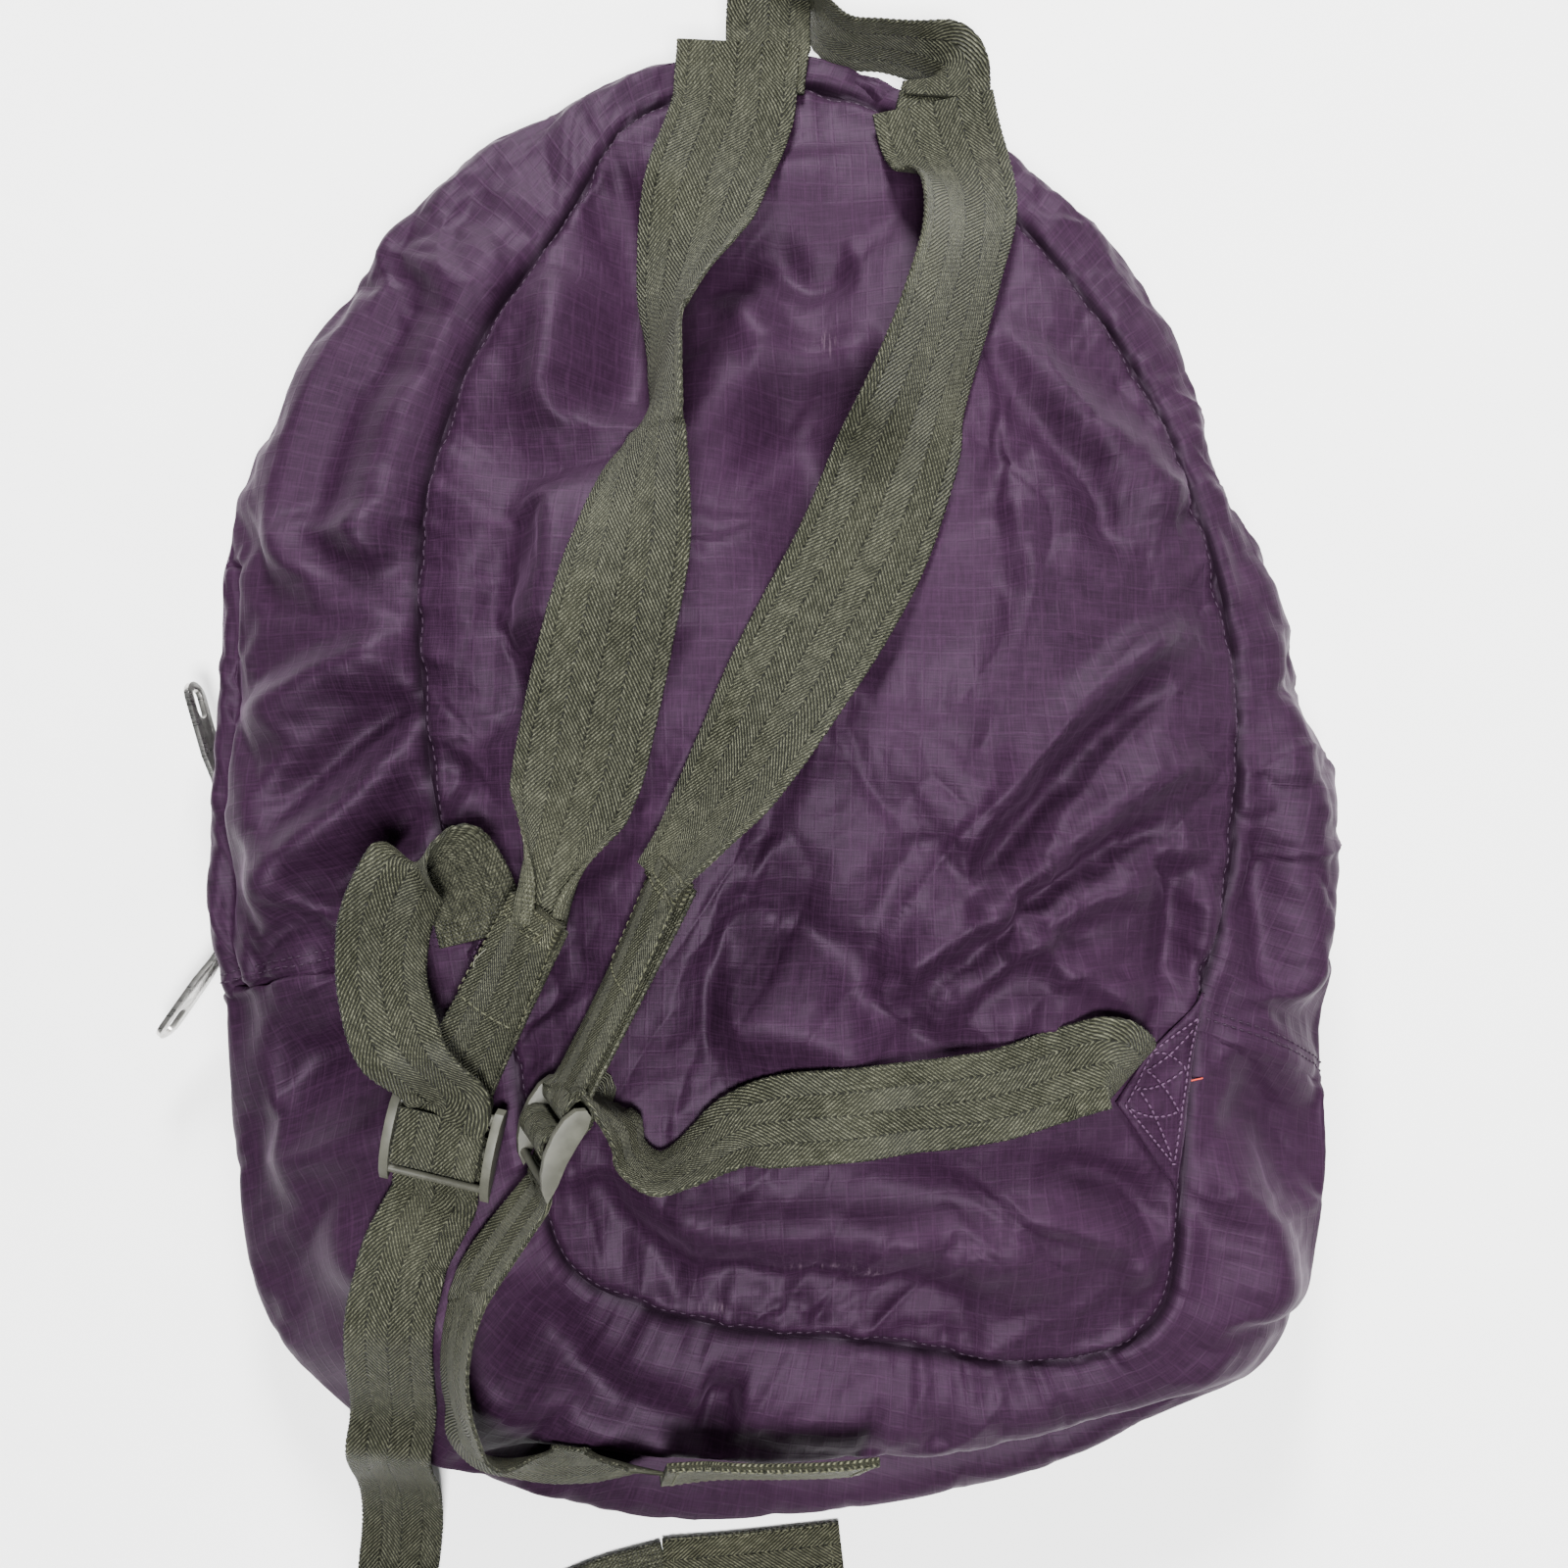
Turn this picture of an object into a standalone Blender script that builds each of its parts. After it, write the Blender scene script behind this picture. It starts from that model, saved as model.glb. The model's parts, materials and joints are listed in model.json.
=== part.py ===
"""A light packable daypack, lying on its front panel with the harness up. Metres, +Z up.

+Y points to the top of the bag and +X to the side away from the zip sliders.
The origin is on the flat of the front panel, at the middle of the bag.
"""

import math

import bmesh
import bpy
import numpy as np
from mathutils import Matrix, Vector
from mathutils.bvhtree import BVHTree

# Cloth, webbing and gaps
FABRIC = 0.0010
WEBBING = 0.0014
TAPE = 0.0008
GAP = 0.0003
STRAP_WIDTH = 0.036
ADJUSTER_WIDTH = 0.025
HAUL_WIDTH = 0.025
HEM_WIDTH = 0.0255
COLUMNS_PER_STATION = 3
STRAP_LIFT = 0.0022
SKIN_CLEARANCE = 0.0014

# Zip, measured down the side from the widest line of the bag
FLAP = 0.0030
COIL_RADIUS = 0.0012
COIL_OFFSET = 0.0020
ZIP_LINE = 0.0118
TAPE_WIDTH = 0.0078
ZIP_SLOPE = math.radians(15)
MOUTH_GAPE = 0.0070
MOUTH_CENTRE = 1.5
MOUTH_REACH = 0.5

# Slider and pull
SLIDER_LENGTH = 0.0110
SLIDER_WIDTH = 0.0092
PLATE = 0.0010
CHANNEL_HEIGHT = 0.0033
POST_WIDTH = 0.0009
TAPE_SLOT = 0.0018
FLANGE = 0.0010
SLIDER_FILLET = 0.0001
BAIL_WIRE = 0.00065
BAIL_RADIUS = 0.0028
BAIL_CENTRE = CHANNEL_HEIGHT / 2 + PLATE + 0.0014
PULL_LENGTH = 0.036
PULL_WIDTH = 0.0095
PULL_THICKNESS = 0.0016
PULL_NECK = 0.0056

# Ladder lock
LOCK_INNER = 0.0270
LOCK_RAIL = 0.0026
BAR_SEGMENTS = 12

# Patches and folded ends
HEM = 0.0028
TAB = 0.0012
TAB_STEPS = 5
LOOP_GAPE = 0.0012

# Outlines as (back seam x, y, z, widest line x, y, z), clockwise from the left side seam.
# The first SIDE_SEAM stations carry the zip.
SIDE_SEAM = 15
STATIONS = (
    (-0.082, -0.042, 0.062, -0.1660, -0.061, 0.036),
    (-0.094, -0.022, 0.061, -0.1696, -0.037, 0.036),
    (-0.100, 0.002, 0.060, -0.1689, -0.010, 0.036),
    (-0.104, 0.043, 0.058, -0.1675, 0.042, 0.036),
    (-0.104, 0.066, 0.057, -0.1669, 0.064, 0.036),
    (-0.100, 0.094, 0.053, -0.1560, 0.100, 0.035),
    (-0.087, 0.131, 0.047, -0.1270, 0.149, 0.032),
    (-0.066, 0.163, 0.040, -0.0900, 0.189, 0.028),
    (-0.044, 0.194, 0.033, -0.0470, 0.212, 0.027),
    (0.000, 0.202, 0.033, 0.0000, 0.216, 0.027),
    (0.038, 0.189, 0.036, 0.0470, 0.197, 0.027),
    (0.078, 0.154, 0.043, 0.0880, 0.170, 0.028),
    (0.110, 0.102, 0.052, 0.1210, 0.109, 0.029),
    (0.127, 0.040, 0.058, 0.1480, 0.043, 0.030),
    (0.127, -0.020, 0.060, 0.1590, -0.030, 0.030),
    (0.117, -0.068, 0.057, 0.1610, -0.088, 0.029),
    (0.114, -0.118, 0.053, 0.1600, -0.124, 0.027),
    (0.107, -0.155, 0.050, 0.1400, -0.177, 0.025),
    (0.074, -0.167, 0.049, 0.0860, -0.202, 0.024),
    (0.025, -0.161, 0.050, 0.0200, -0.218, 0.023),
    (-0.018, -0.156, 0.052, -0.0420, -0.222, 0.023),
    (-0.056, -0.143, 0.054, -0.1020, -0.206, 0.024),
    (-0.069, -0.118, 0.058, -0.1480, -0.169, 0.026),
    (-0.076, -0.080, 0.061, -0.1640, -0.112, 0.028),
)
FRONT_INSET = 0.014
FRONT_SEAM_Z = 0.0015
PANEL_CENTRE = np.array([0.012, 0.012, 0.0])
PANEL_TOP = 0.081
SEAM_STEP = 0.006
SEAM_GAP = 0.0007
BULGE = 0.007
GUSSET_BELLY = 0.004
BINDING_NEAR = 0.0045
BINDING_FAR = 0.0115

PLUM = (0.072, 0.033, 0.070)
OLIVE = (0.165, 0.175, 0.120)
NICKEL = (0.62, 0.61, 0.58)
GREY_PLASTIC = (0.24, 0.25, 0.19)
DARK_PLUM = (0.040, 0.022, 0.042)


def clear_scene():
    for obj in list(bpy.data.objects):
        bpy.data.objects.remove(obj, do_unlink=True)


def collection(name):
    made = bpy.data.collections.new(name)
    bpy.context.scene.collection.children.link(made)
    return made


def material(name, colour, roughness, metallic=0.0):
    made = bpy.data.materials.new(name)
    made.use_nodes = True
    shader = made.node_tree.nodes["Principled BSDF"]
    shader.inputs["Base Color"].default_value = (*colour, 1.0)
    shader.inputs["Roughness"].default_value = roughness
    shader.inputs["Metallic"].default_value = metallic
    return made


def fabric(name):
    return material(name + "_fabric", PLUM, 0.5)


def webbing(name):
    return material(name + "_webbing", OLIVE, 0.8)


clear_scene()
PARTS = collection("daypack")


def add_object(name, data, finish):
    obj = bpy.data.objects.new(name, data)
    data.materials.clear()
    data.materials.append(finish)
    PARTS.objects.link(obj)
    return obj


def smooth_line(points, count):
    """Points along a Catmull-Rom curve through the given ones, at even steps of its parameter."""
    points = np.asarray(points, dtype=float)
    where = np.linspace(0, len(points) - 1, count)
    return np.array([curve_point(points, u, False) for u in where])


def curve_point(points, u, closed):
    total = len(points)
    low = int(math.floor(u))
    if not closed:
        low = min(max(low, 0), total - 2)
    t = u - low
    picks = [(low + k) % total if closed else min(max(low + k, 0), total - 1) for k in (-1, 0, 1, 2)]
    a, b, c, d = points[picks]
    return 0.5 * (2 * b + (c - a) * t + (2 * a - 5 * b + 4 * c - d) * t**2 + (3 * b - a - 3 * c + d) * t**3)


def grid_mesh(name, rows, cyclic=False):
    """An open surface over rows of points, each row as long as the next."""
    rows = np.asarray(rows, dtype=float)
    height, width = rows.shape[:2]
    mesh = bpy.data.meshes.new(name)
    built = bmesh.new()
    verts = [built.verts.new(tuple(point)) for point in rows.reshape(-1, 3)]
    for r in range(height - 1):
        for c in range(width if cyclic else width - 1):
            beside = (c + 1) % width
            built.faces.new((verts[r * width + c], verts[r * width + beside],
                             verts[(r + 1) * width + beside], verts[(r + 1) * width + c]))
    built.to_mesh(mesh)
    built.free()
    mesh.shade_smooth()
    return mesh


def solidify(obj, thickness, offset):
    modifier = obj.modifiers.new("thickness", "SOLIDIFY")
    modifier.thickness = thickness
    modifier.offset = offset
    modifier.use_even_offset = False
    return obj


def unit(vector):
    return vector / np.linalg.norm(vector, axis=-1, keepdims=True)


# ---- The bag's outlines ----

STATION_COUNT = len(STATIONS)


def outline(first_column, where):
    """One outline of the bag at station positions: 0 is the back seam, 3 the widest line."""
    table = np.array(STATIONS)[:, first_column:first_column + 3]
    return np.array([curve_point(table, u, True) for u in where])


def inward(where):
    """Level directions from the widest line into the bag."""
    step = 0.02
    along = unit(outline(3, where + step) - outline(3, where - step))
    return unit(np.stack([along[:, 1], -along[:, 0], np.zeros(len(where))], axis=1))


def zip_points(where, down):
    """A line on the zip's band, a distance down from the widest line."""
    fall = inward(where) * math.sin(ZIP_SLOPE) + np.array([0, 0, -math.cos(ZIP_SLOPE)])
    return outline(3, where) + fall * np.reshape(down, (-1, 1))


def front_seam(where):
    line = outline(3, where) + inward(where) * FRONT_INSET
    line[:, 2] = FRONT_SEAM_Z
    return line


def upper_columns():
    """Station positions along the zip, closer together at the open mouth."""
    first = np.linspace(SEAM_STEP, MOUTH_CENTRE - MOUTH_REACH, 9)
    mouth = np.linspace(MOUTH_CENTRE - MOUTH_REACH, MOUTH_CENTRE + MOUTH_REACH, 9)
    rest = np.linspace(MOUTH_CENTRE + MOUTH_REACH, SIDE_SEAM - SEAM_STEP, 3 * (SIDE_SEAM - 2) + 1)
    return np.concatenate([first[:-1], mouth[:-1], rest])


def mouth_gape(where):
    """How far the front half of the zip hangs open between the two sliders."""
    reach = np.clip(np.abs(where - MOUTH_CENTRE) / MOUTH_REACH, 0, 1)
    return MOUTH_GAPE * np.cos(reach * math.pi / 2) ** 2


def bulged_rows(where):
    """Rows from the back seam over the rounded side to the widest line, half outward and half up."""
    seam = outline(0, where)
    widest = outline(3, where)
    push = unit(np.array([0, 0, 1.0]) - inward(where))
    return [seam + (widest - seam) * t + push * (math.sin(math.pi * t) * BULGE)
            for t in np.linspace(0, 1, 6)]


def make_upper_gusset():
    where = upper_columns()
    rows = bulged_rows(where)
    rows.append(zip_points(where, FLAP))
    back = add_object("upper_gusset_back", grid_mesh("upper_gusset_back", rows), fabric("upper_gusset_back"))
    solidify(back, FABRIC, -1)
    top = zip_points(where, ZIP_LINE + COIL_OFFSET + TAPE_WIDTH + SEAM_GAP + mouth_gape(where))
    bottom = front_seam(where)
    rows = [top + (bottom - top) * t for t in (0, 0.5, 1)]
    front = add_object("upper_gusset_front", grid_mesh("upper_gusset_front", rows),
                       fabric("upper_gusset_front"))
    solidify(front, FABRIC, -1)


def make_lower_gusset():
    count = (STATION_COUNT - SIDE_SEAM) * COLUMNS_PER_STATION + 1
    where = np.linspace(SIDE_SEAM + SEAM_STEP, STATION_COUNT - SEAM_STEP, count)
    rows = bulged_rows(where)
    widest = outline(3, where)
    bottom = front_seam(where)
    rows += [widest + (bottom - widest) * t - inward(where) * math.sin(math.pi * t) * GUSSET_BELLY
             for t in (0.33, 0.67, 1)]
    obj = add_object("lower_gusset", grid_mesh("lower_gusset", rows), fabric("lower_gusset"))
    solidify(obj, FABRIC, -1)


def around():
    """Station positions all the way round, the last one left off."""
    return np.linspace(0, STATION_COUNT, STATION_COUNT * COLUMNS_PER_STATION + 1)[:-1]


def close_middle(mesh):
    """Fills the hole that the innermost ring leaves."""
    built = bmesh.new()
    built.from_mesh(mesh)
    rings = [edge for edge in built.edges if edge.is_boundary]
    middle = sorted(rings, key=lambda edge: (edge.verts[0].co.xy - Vector((0.01, 0.01))).length)
    hole = middle[:len(rings) // 2]
    bmesh.ops.triangle_fill(built, edges=hole, use_beauty=True)
    bmesh.ops.recalc_face_normals(built, faces=built.faces)
    built.to_mesh(mesh)
    built.free()


def panel(name, rim, centre, shares, height, sign):
    """A panel of rings from a rim in to the centre, a little smaller than the seam it is sewn to."""
    level = rim - centre
    level[:, 2] = 0
    rim = rim - unit(level) * (FABRIC + 2 * GAP)
    rows = []
    for share in shares:
        ring = centre + (rim - centre) * share
        ring[:, 2] = height(share, rim[:, 2])
        rows.append(ring)
    mesh = grid_mesh(name, rows, cyclic=True)
    close_middle(mesh)
    face_up(mesh, sign)
    solidify(add_object(name, mesh, fabric(name)), FABRIC, -1)


def make_panels():
    def dome(share, rim_z):
        return rim_z * share**2 + (1 - share**2) * PANEL_TOP

    def flat(share, rim_z):
        return rim_z - GAP if share == 1.0 else rim_z * 0

    panel("back_panel", outline(0, around()), PANEL_CENTRE, (1.0, 0.93, 0.8, 0.6, 0.36, 0.12), dome, 1)
    panel("front_panel", front_seam(around()), np.zeros(3), (1.0, 0.94, 0.12), flat, -1)


def face_up(mesh, sign):
    """Turns an open surface's faces to +Z (1) or -Z (-1)."""
    mean = sum(poly.normal.z * poly.area for poly in mesh.polygons)
    if mean * sign < 0:
        mesh.flip_normals()


def make_bindings():
    """Bound seam allowances that stand into the bag from each seam."""
    into = inward(around())
    for name, line, rise in (("back_seam_binding", outline(0, around()), -0.5),
                             ("front_seam_binding", front_seam(around()), 0.5)):
        towards = unit(into + np.array([0, 0, rise]))
        rows = [line + towards * depth for depth in (BINDING_NEAR, BINDING_FAR)]
        obj = add_object(name, grid_mesh(name, rows, cyclic=True), material(name + "_tape", DARK_PLUM, 0.8))
        solidify(obj, FABRIC, 0)


def skin_tree():
    """The top surface of the bag, for laying straps on."""
    graph = bpy.context.evaluated_depsgraph_get()
    verts = []
    faces = []
    for name in ("back_panel", "upper_gusset_back", "lower_gusset"):
        shape = bpy.data.objects[name].evaluated_get(graph).to_mesh()
        base = len(verts)
        verts += [vert.co.copy() for vert in shape.vertices]
        faces += [[base + k for k in poly.vertices] for poly in shape.polygons]
    return BVHTree.FromPolygons(verts, faces)


make_upper_gusset()
make_lower_gusset()
make_panels()
make_bindings()
bpy.context.view_layer.update()
SKIN = skin_tree()


# ---- Zip ----

FRONT_COIL = ZIP_LINE + COIL_OFFSET
BACK_COIL = ZIP_LINE - COIL_OFFSET


def make_zip():
    where = upper_columns()
    gape = mouth_gape(where)
    reach = COIL_RADIUS + SEAM_GAP
    halves = (("back", FLAP + SEAM_GAP, BACK_COIL - reach, BACK_COIL, gape * 0),
              ("front", FRONT_COIL + reach, FRONT_COIL + TAPE_WIDTH, FRONT_COIL, gape))
    for half, near, far, bead, shift in halves:
        rows = [zip_points(where, down + shift) for down in (near, far)]
        name = "zip_tape_" + half
        tape = add_object(name, grid_mesh(name, rows), material(name + "_tape", DARK_PLUM, 0.8))
        solidify(tape, TAPE, 0)
        wire("zip_coil_" + half, zip_points(where, bead + shift), COIL_RADIUS,
             material("zip_coil_" + half + "_nylon", DARK_PLUM, 0.5))


def wire(name, points, radius, finish):
    """A tube with filled caps along the points."""
    curve = bpy.data.curves.new(name, "CURVE")
    curve.dimensions = "3D"
    curve.bevel_depth = radius
    curve.bevel_resolution = 1
    curve.use_fill_caps = True
    line = curve.splines.new("POLY")
    line.points.add(len(points) - 1)
    for spot, point in zip(line.points, points):
        spot.co = (*point, 1.0)
    return add_object(name, curve, finish)


def zip_frame(u):
    """Origin and axes (along, across, out) of the zip's line at a station position."""
    near = np.array([u - 0.01, u, u + 0.01])
    before, spot, after = zip_points(near, ZIP_LINE)
    along = Vector(unit(after - before))
    into = Vector(inward(near)[1])
    across = into * math.sin(ZIP_SLOPE) - Vector((0, 0, math.cos(ZIP_SLOPE)))
    across = (across - along * across.dot(along)).normalized()
    out = along.cross(across)
    return Vector(spot), along, across, out


def position_at(y):
    """The station position where the zip's left side passes a given y."""
    where = np.linspace(0, 3.2, 321)
    return float(np.interp(y, zip_points(where, ZIP_LINE)[:, 1], where))


def box_mesh(size, middle=(0, 0, 0)):
    mesh = bpy.data.meshes.new("box")
    built = bmesh.new()
    bmesh.ops.create_cube(built, size=1.0, matrix=Matrix.Translation(middle) @ Matrix.Diagonal((*size, 1.0)))
    built.to_mesh(mesh)
    built.free()
    return mesh


def united(name, meshes, finish):
    """One solid from several that overlap."""
    first = add_object(name, meshes[0], finish)
    for number, mesh in enumerate(meshes[1:]):
        tool = bpy.data.objects.new(f"{name}_piece_{number}", mesh)
        bpy.context.scene.collection.objects.link(tool)
        modifier = first.modifiers.new(f"join_{number}", "BOOLEAN")
        modifier.operation = "UNION"
        modifier.object = tool
    bpy.context.view_layer.update()
    graph = bpy.context.evaluated_depsgraph_get()
    whole = bpy.data.meshes.new_from_object(first.evaluated_get(graph))
    tools = [modifier.object for modifier in first.modifiers]
    first.modifiers.clear()
    first.data = whole
    whole.materials.clear()
    whole.materials.append(finish)
    for tool in tools:
        bpy.data.objects.remove(tool, do_unlink=True)
    return first


def curve_mesh(curve):
    """A curve's solid as a mesh, its caps welded."""
    holder = bpy.data.objects.new("holder", curve)
    bpy.context.scene.collection.objects.link(holder)
    bpy.context.view_layer.update()
    graph = bpy.context.evaluated_depsgraph_get()
    mesh = bpy.data.meshes.new_from_object(holder.evaluated_get(graph))
    built = bmesh.new()
    built.from_mesh(mesh)
    bmesh.ops.remove_doubles(built, verts=built.verts, dist=1e-6)
    bmesh.ops.recalc_face_normals(built, faces=built.faces)
    built.to_mesh(mesh)
    built.free()
    bpy.data.objects.remove(holder, do_unlink=True)
    return mesh


def flat_outline(loops, thickness):
    """A flat plate from closed outlines in its own XY plane: the first is the rim, the rest holes."""
    curve = bpy.data.curves.new("outline", "CURVE")
    curve.dimensions = "2D"
    curve.fill_mode = "BOTH"
    curve.extrude = thickness / 2
    for loop in loops:
        line = curve.splines.new("POLY")
        line.points.add(len(loop) - 1)
        for spot, (x, y) in zip(line.points, loop):
            spot.co = (x, y, 0, 1)
        line.use_cyclic_u = True
    return curve


def oval(x, y, half_length, half_width, count):
    """A slot with round ends, lengthwise along X."""
    straight = half_length - half_width
    points = []
    for side in (1, -1):
        for k in range(count + 1):
            turn = math.pi * (k / count - 0.5)
            points.append((x + side * (straight + half_width * math.cos(turn)),
                           y + side * half_width * math.sin(turn)))
    return points


def placed(obj, origin, x_axis, y_axis, z_axis):
    turn = Matrix((x_axis, y_axis, z_axis)).transposed().to_4x4()
    obj.matrix_world = Matrix.Translation(origin) @ turn
    return obj


def slider_section():
    """Half of the slider's end view, as (across, out): two plates and their flanges round the coils."""
    half = SLIDER_WIDTH / 2
    post = POST_WIDTH / 2
    inner = CHANNEL_HEIGHT / 2
    slot = TAPE_SLOT / 2
    lip = half - FLANGE
    top = inner + PLATE
    root = inner + SLIDER_FILLET
    return [(post, root), (lip, inner), (lip, slot), (half, slot), (half, top),
            (-half, top), (-half, slot), (-lip, slot), (-lip, inner), (-post, root),
            (-post, -root), (-lip, -inner), (-lip, -slot), (-half, -slot), (-half, -top),
            (half, -top), (half, -slot), (lip, -slot), (lip, -inner), (post, -root)]


def make_slider(name, y):
    """The slider on the zip at y: its X axis runs along the zip and its Z axis points out of the bag."""
    origin, along, across, out = zip_frame(position_at(y))
    finish = material(name + "_metal", NICKEL, 0.3, 1.0)
    body = flat_outline([slider_section()], SLIDER_LENGTH)
    body_mesh = curve_mesh(body)
    upright = Matrix(((0, 0, 1), (1, 0, 0), (0, 1, 0))).to_4x4()
    body_mesh.transform(upright)
    foot = CHANNEL_HEIGHT / 2 + PLATE / 2
    arch = [(-BAIL_RADIUS, 0, foot)]
    for turn in np.linspace(0, math.pi, 9):
        arch.append((-BAIL_RADIUS * math.cos(turn), 0, BAIL_CENTRE + BAIL_RADIUS * math.sin(turn)))
    arch.append((BAIL_RADIUS, 0, foot))
    bail = bpy.data.curves.new("bail", "CURVE")
    bail.dimensions = "3D"
    bail.bevel_depth = BAIL_WIRE
    bail.bevel_resolution = 1
    bail.use_fill_caps = True
    line = bail.splines.new("POLY")
    line.points.add(len(arch) - 1)
    for spot, point in zip(line.points, arch):
        spot.co = (*point, 1)
    slider = united(name, [body_mesh, curve_mesh(bail)], finish)
    return placed(slider, origin, along, out.cross(along), out)


def pull_outline():
    """The pull's rim: a bar for the bail at X = 0, a narrow neck, and a wide round end."""
    neck = PULL_NECK / 2
    wide = PULL_WIDTH / 2
    end = PULL_LENGTH - wide
    side = [(-PULL_THICKNESS / 2, neck), (0.0055, neck), (0.0125, wide * 0.94), (end, wide)]
    tip = [(end + wide * math.sin(math.pi * k / 8), wide * math.cos(math.pi * k / 8)) for k in range(1, 8)]
    return side + tip + [(x, -y) for x, y in reversed(side)]


def make_pull(name, slider, swing, forward):
    """A pull on the slider's bail, swung up from the zip by an angle, towards +along or -along."""
    eye = oval(0.0027, 0, 0.0017, 0.0013, 4)
    hole = oval(PULL_LENGTH - 0.0071, 0, 0.0047, 0.0021, 6)
    mesh = curve_mesh(flat_outline([pull_outline(), eye, hole], PULL_THICKNESS))
    pull = add_object(name, mesh, material(name + "_metal", NICKEL, 0.28, 1.0))
    frame = slider.matrix_world.to_3x3()
    along, across, out = (frame.col[k].copy() for k in range(3))
    origin = slider.matrix_world @ Vector((0, 0, BAIL_CENTRE))
    reach = along * forward * math.cos(swing) + out * math.sin(swing)
    return placed(pull, origin, reach, across, reach.cross(across))


def make_zip_stops():
    for name, u in (("zip_stop_left", 0.075), ("zip_stop_right", SIDE_SEAM - 0.05)):
        origin, along, across, out = zip_frame(u)
        plate = box_mesh((0.003, 0.0074, 0.0009), (0, 0, 0.0021))
        stop = add_object(name, plate, material(name + "_metal", NICKEL, 0.4, 1.0))
        placed(stop, origin, along, across, out)


make_zip()
make_zip_stops()
UPPER = make_slider("upper_slider", -0.0035)
LOWER = make_slider("lower_slider", -0.0480)
UPPER_SWING = math.radians(19)
LOWER_SWING = math.radians(50)
make_pull("upper_pull", UPPER, UPPER_SWING, 1)
make_pull("lower_pull", LOWER, LOWER_SWING, -1)


# ---- Webbing ----

UP = np.array([0, 0, 1.0])
SKY = 0.3
FEELER = 0.0015


def ground(x, y):
    """The height of the bag's skin round a point, or of the floor beside it."""
    down = Vector((0, 0, -1))
    hits = [SKIN.ray_cast(Vector((x + dx, y + dy, SKY)), down)[0]
            for dx, dy in ((0, 0), (FEELER, 0), (-FEELER, 0), (0, FEELER), (0, -FEELER))]
    return max([hit.z for hit in hits if hit], default=0.0)


def laid_frames(stations, width, count, clearance=STRAP_LIFT):
    """Centres and across directions of a strap laid along stations of (x, y, roll in degrees, lift)."""
    spots = []
    for x, y, roll, lift in stations:
        edge = abs(math.sin(math.radians(roll))) * width / 2
        spots.append((x, y, ground(x, y) + clearance + edge + lift, roll))
    line = smooth_line(spots, count)
    centres = line[:, :3]
    along = unit(np.gradient(centres, axis=0))
    side = unit(np.cross(UP, along))
    roll = np.radians(line[:, 3:4])
    rise = unit(np.cross(along, side))
    across = side * np.cos(roll) + rise * np.sin(roll)
    return lifted(centres, across, width)


def lifted(centres, across, width):
    """The same frames, raised wherever they would touch the skin."""
    for spot, direction in zip(centres, across):
        for share in (-0.5, -0.25, 0.0, 0.25, 0.5):
            probe = spot + direction * width * share
            spot[2] += max(0.0, ground(probe[0], probe[1]) + SKIN_CLEARANCE - probe[2])
    return centres, across


def free_frames(stations, count):
    """Centres and across directions of a strap through stations of (x, y, z, across x, y, z)."""
    line = smooth_line(stations, count)
    return lifted(line[:, :3], unit(line[:, 3:]), ADJUSTER_WIDTH)


def ribbon(name, frames, width, thickness=WEBBING, gathered=1.0):
    """A strap along its frames; gathered is the share of the width that is left at its far end."""
    centres, across = frames
    share = np.clip(np.linspace(-3, 1, len(centres)), 0, 1).reshape(-1, 1)
    half = across * width / 2 * (1 - share * (1 - gathered))
    obj = add_object(name, grid_mesh(name, [centres - half, centres + half]), webbing(name))
    return solidify(obj, thickness, 0)


# (x, y, roll, lift) from the top of the bag down to the ladder locks
LEFT_STRAP = (
    (-0.0135, 0.2190, 0, 0.035),
    (-0.0140, 0.2080, 0, 0.008),
    (-0.0153, 0.1960, 0, 0.002),
    (-0.0226, 0.1710, 12, 0.000),
    (-0.0275, 0.1500, 40, 0.000),
    (-0.0324, 0.1276, 70, 0.000),
    (-0.0344, 0.1065, 74, 0.000),
    (-0.0394, 0.0843, 44, 0.000),
    (-0.0425, 0.0630, 20, 0.000),
    (-0.0470, 0.0430, 8, 0.000),
    (-0.0505, 0.0270, 0, 0.000),
    (-0.0565, 0.0013, 0, 0.000),
    (-0.0624, -0.0188, -10, 0.000),
    (-0.0665, -0.0330, -22, 0.001),
)
RIGHT_STRAP = (
    (0.0435, 0.2000, 0, 0.003),
    (0.0465, 0.1910, -12, 0.001),
    (0.0495, 0.1820, -28, 0.000),
    (0.0520, 0.1700, -42, 0.000),
    (0.0505, 0.1550, -48, 0.000),
    (0.0475, 0.1390, -46, 0.000),
    (0.0382, 0.1090, -40, 0.000),
    (0.0311, 0.0890, -18, 0.000),
    (0.0210, 0.0645, 0, 0.000),
    (0.0083, 0.0400, 14, 0.000),
    (-0.0091, 0.0080, 38, 0.000),
    (-0.0224, -0.0134, 52, 0.000),
    (-0.0325, -0.0265, 60, 0.000),
)


def lock_matrix(middle, heading, roll):
    """A ladder lock's frame: X across the webbing, Y to the shoulder strap, Z out of its face."""
    along = Vector((math.sin(math.radians(heading)), math.cos(math.radians(heading)), 0))
    level = Vector((along.y, -along.x, 0))
    across = level * math.cos(math.radians(roll)) + Vector((0, 0, 1)) * math.sin(math.radians(roll))
    turn = Matrix((across, along, across.cross(along))).transposed().to_4x4()
    return Matrix.Translation(middle) @ turn


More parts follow.
